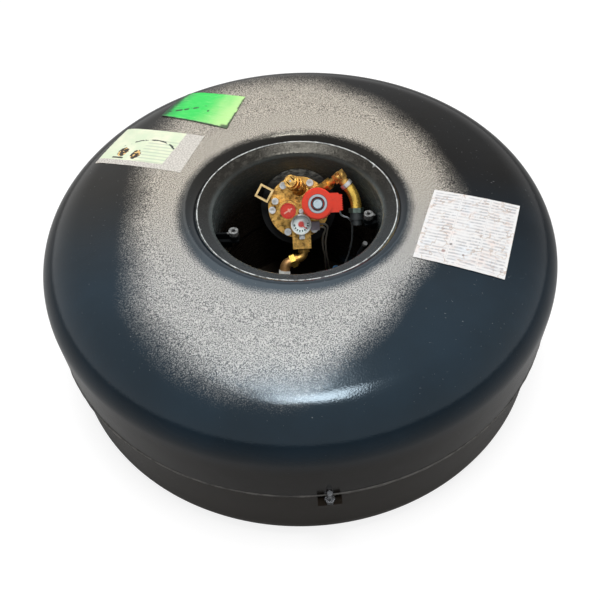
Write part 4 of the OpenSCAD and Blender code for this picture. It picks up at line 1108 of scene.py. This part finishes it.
def backdrop_world(scene, look):
    """White where the camera, a gloss or clear plastic sees it; a soft low light on everything else."""
    world = bpy.data.worlds.new("studio")
    tree = bare_tree(world)
    rays = add(tree, "ShaderNodeLightPath").outputs
    seen = most(rays["Is Camera Ray"], rays["Is Glossy Ray"], rays["Is Transmission Ray"])
    soft, white = (emitter(tree, "ShaderNodeBackground", 1.0, strength) for strength in (look.fill, 1.0))
    mixed = add(tree, "ShaderNodeMixShader", {0: seen, 1: soft, 2: white})
    add(tree, "ShaderNodeOutputWorld", {"Surface": mixed.outputs[0]})
    scene.world = world


def studio_floor():
    """A flat pale floor, which the camera sees as nearly white, with the tank's shadow left on it."""
    half, low = 4.0, -0.0005
    corners = [(x * half, y * half, low) for x, y in ((-1, -1), (1, -1), (1, 1), (-1, 1))]
    mesh = bpy.data.meshes.new("floor")
    mesh.from_pydata(corners, [], [(0, 1, 2, 3)])
    floor = bpy.data.objects.new("floor", mesh)
    bpy.context.scene.collection.objects.link(floor)
    # matt grey card; the camera sees it with a glow added, so that only the shadow darkens it
    material = bpy.data.materials.new("pale_floor")
    tree = bare_tree(material)
    camera = add(tree, "ShaderNodeLightPath").outputs["Is Camera Ray"]
    glow = emitter(tree, "ShaderNodeEmission", 1.0, 0.82)
    lit = add(tree, "ShaderNodeAddShader", {0: glow, 1: matt(tree, 0.3)}).outputs[0]
    mixed = add(tree, "ShaderNodeMixShader", {0: camera, 1: matt(tree, 0.4), 2: lit})
    add(tree, "ShaderNodeOutputMaterial", {"Surface": mixed.outputs[0]})
    mesh.materials.append(material)


def strip_light(name, centre, size, radiance):
    """A flat panel of even radiance that faces straight down: its power is radiance times pi times its area."""
    lamp = bpy.data.lights.new(name, "AREA")
    lamp.shape = "RECTANGLE"
    lamp.size, lamp.size_y = size
    lamp.energy = radiance * math.pi * size[0] * size[1]
    holder = bpy.data.objects.new(name, lamp)
    bpy.context.scene.collection.objects.link(holder)
    holder.location = centre
    return holder


class AUTOGAS_OT_stage(bpy.types.Operator):
    """Camera, floor, white surroundings and lamps"""

    bl_idname = "autogas.stage"
    bl_label = "Stage"

    def execute(self, context):
        scene = context.scene
        look = scene.autogas_stage
        scene.view_settings.view_transform = "Standard"
        # the camera looks down on the tank from the front, held a little askew
        pitch, yaw, roll = (math.radians(degrees) for degrees in (50.38, -0.20, -3.12))
        ahead = Vector((math.sin(yaw) * math.cos(pitch), math.cos(yaw) * math.cos(pitch), -math.sin(pitch)))
        right = ahead.cross(Vector((0, 0, 1))).normalized()
        up = right.cross(ahead)
        tilted_right = math.cos(roll) * right + math.sin(roll) * up
        tilted_up = math.cos(roll) * up - math.sin(roll) * right
        lens = bpy.data.cameras.new("view")
        lens.sensor_width, lens.lens = 36.0, look.lens
        camera = bpy.data.objects.new("view", lens)
        scene.collection.objects.link(camera)
        turn = Matrix((tilted_right, tilted_up, -ahead)).transposed()
        camera.matrix_world = Matrix.Translation(CAMERA_AT) @ turn.to_4x4()
        scene.camera = camera
        backdrop_world(scene, look)
        studio_floor()
        # name, centre, size, radiance, and whether only the gloss shows it; the pane is a window overhead, its glare
        # the bright sky in it, and the skylight is what the collar's back shows
        for name, centre, size, radiance, gloss_only in (
            ("overhead_strip", (-0.13, 1.15, 2.25), (0.74, 2.8), look.key, False),
            ("window_pane", (0.05, -0.32, 2.25), (0.62, 0.66), look.pane, False),
            ("window_glare", (0.05, -0.32, 2.30), (0.62, 0.66), look.glare, True),
            ("skylight_glare", (-0.12, 0.36, 2.30), (0.44, 0.24), look.glare * 1.5, True),
        ):
            strip_light(name, centre, size, radiance).visible_diffuse = not gloss_only
        return {"FINISHED"}


class AUTOGAS_PT_panel(bpy.types.Panel):
    """The tank's pieces, in the order in which they are made"""

    bl_idname = "AUTOGAS_PT_panel"
    bl_label = "Autogas Tank"
    bl_space_type = "VIEW_3D"
    bl_region_type = "UI"
    bl_category = "Autogas Tank"

    def draw(self, context):
        for step in STEPS:
            self.layout.operator(step.bl_idname)


STEPS = (
    AUTOGAS_OT_stage,
    AUTOGAS_OT_leads,
    AUTOGAS_OT_upper_shell,
    AUTOGAS_OT_lower_shell,
    AUTOGAS_OT_well,
    AUTOGAS_OT_welds,
    AUTOGAS_OT_brackets,
    AUTOGAS_OT_labels,
    AUTOGAS_OT_valve,
)
GROUPS = {
    "autogas_shape": TankShape,
    "autogas_paint": TankPaint,
    "autogas_labels": LabelLook,
    "autogas_valve": ValveLook,
    "autogas_stage": StageLook,
}


def register():
    for kind in (*GROUPS.values(), *STEPS, AUTOGAS_PT_panel):
        bpy.utils.register_class(kind)
    for name, kind in GROUPS.items():
        setattr(bpy.types.Scene, name, PointerProperty(type=kind))


def unregister():
    for name in GROUPS:
        delattr(bpy.types.Scene, name)
    for kind in reversed((*GROUPS.values(), *STEPS, AUTOGAS_PT_panel)):
        bpy.utils.unregister_class(kind)


def main():
    register()
    for step in STEPS:
        group, action = step.bl_idname.split(".")
        getattr(getattr(bpy.ops, group), action)()


if __name__ == "__main__":
    main()
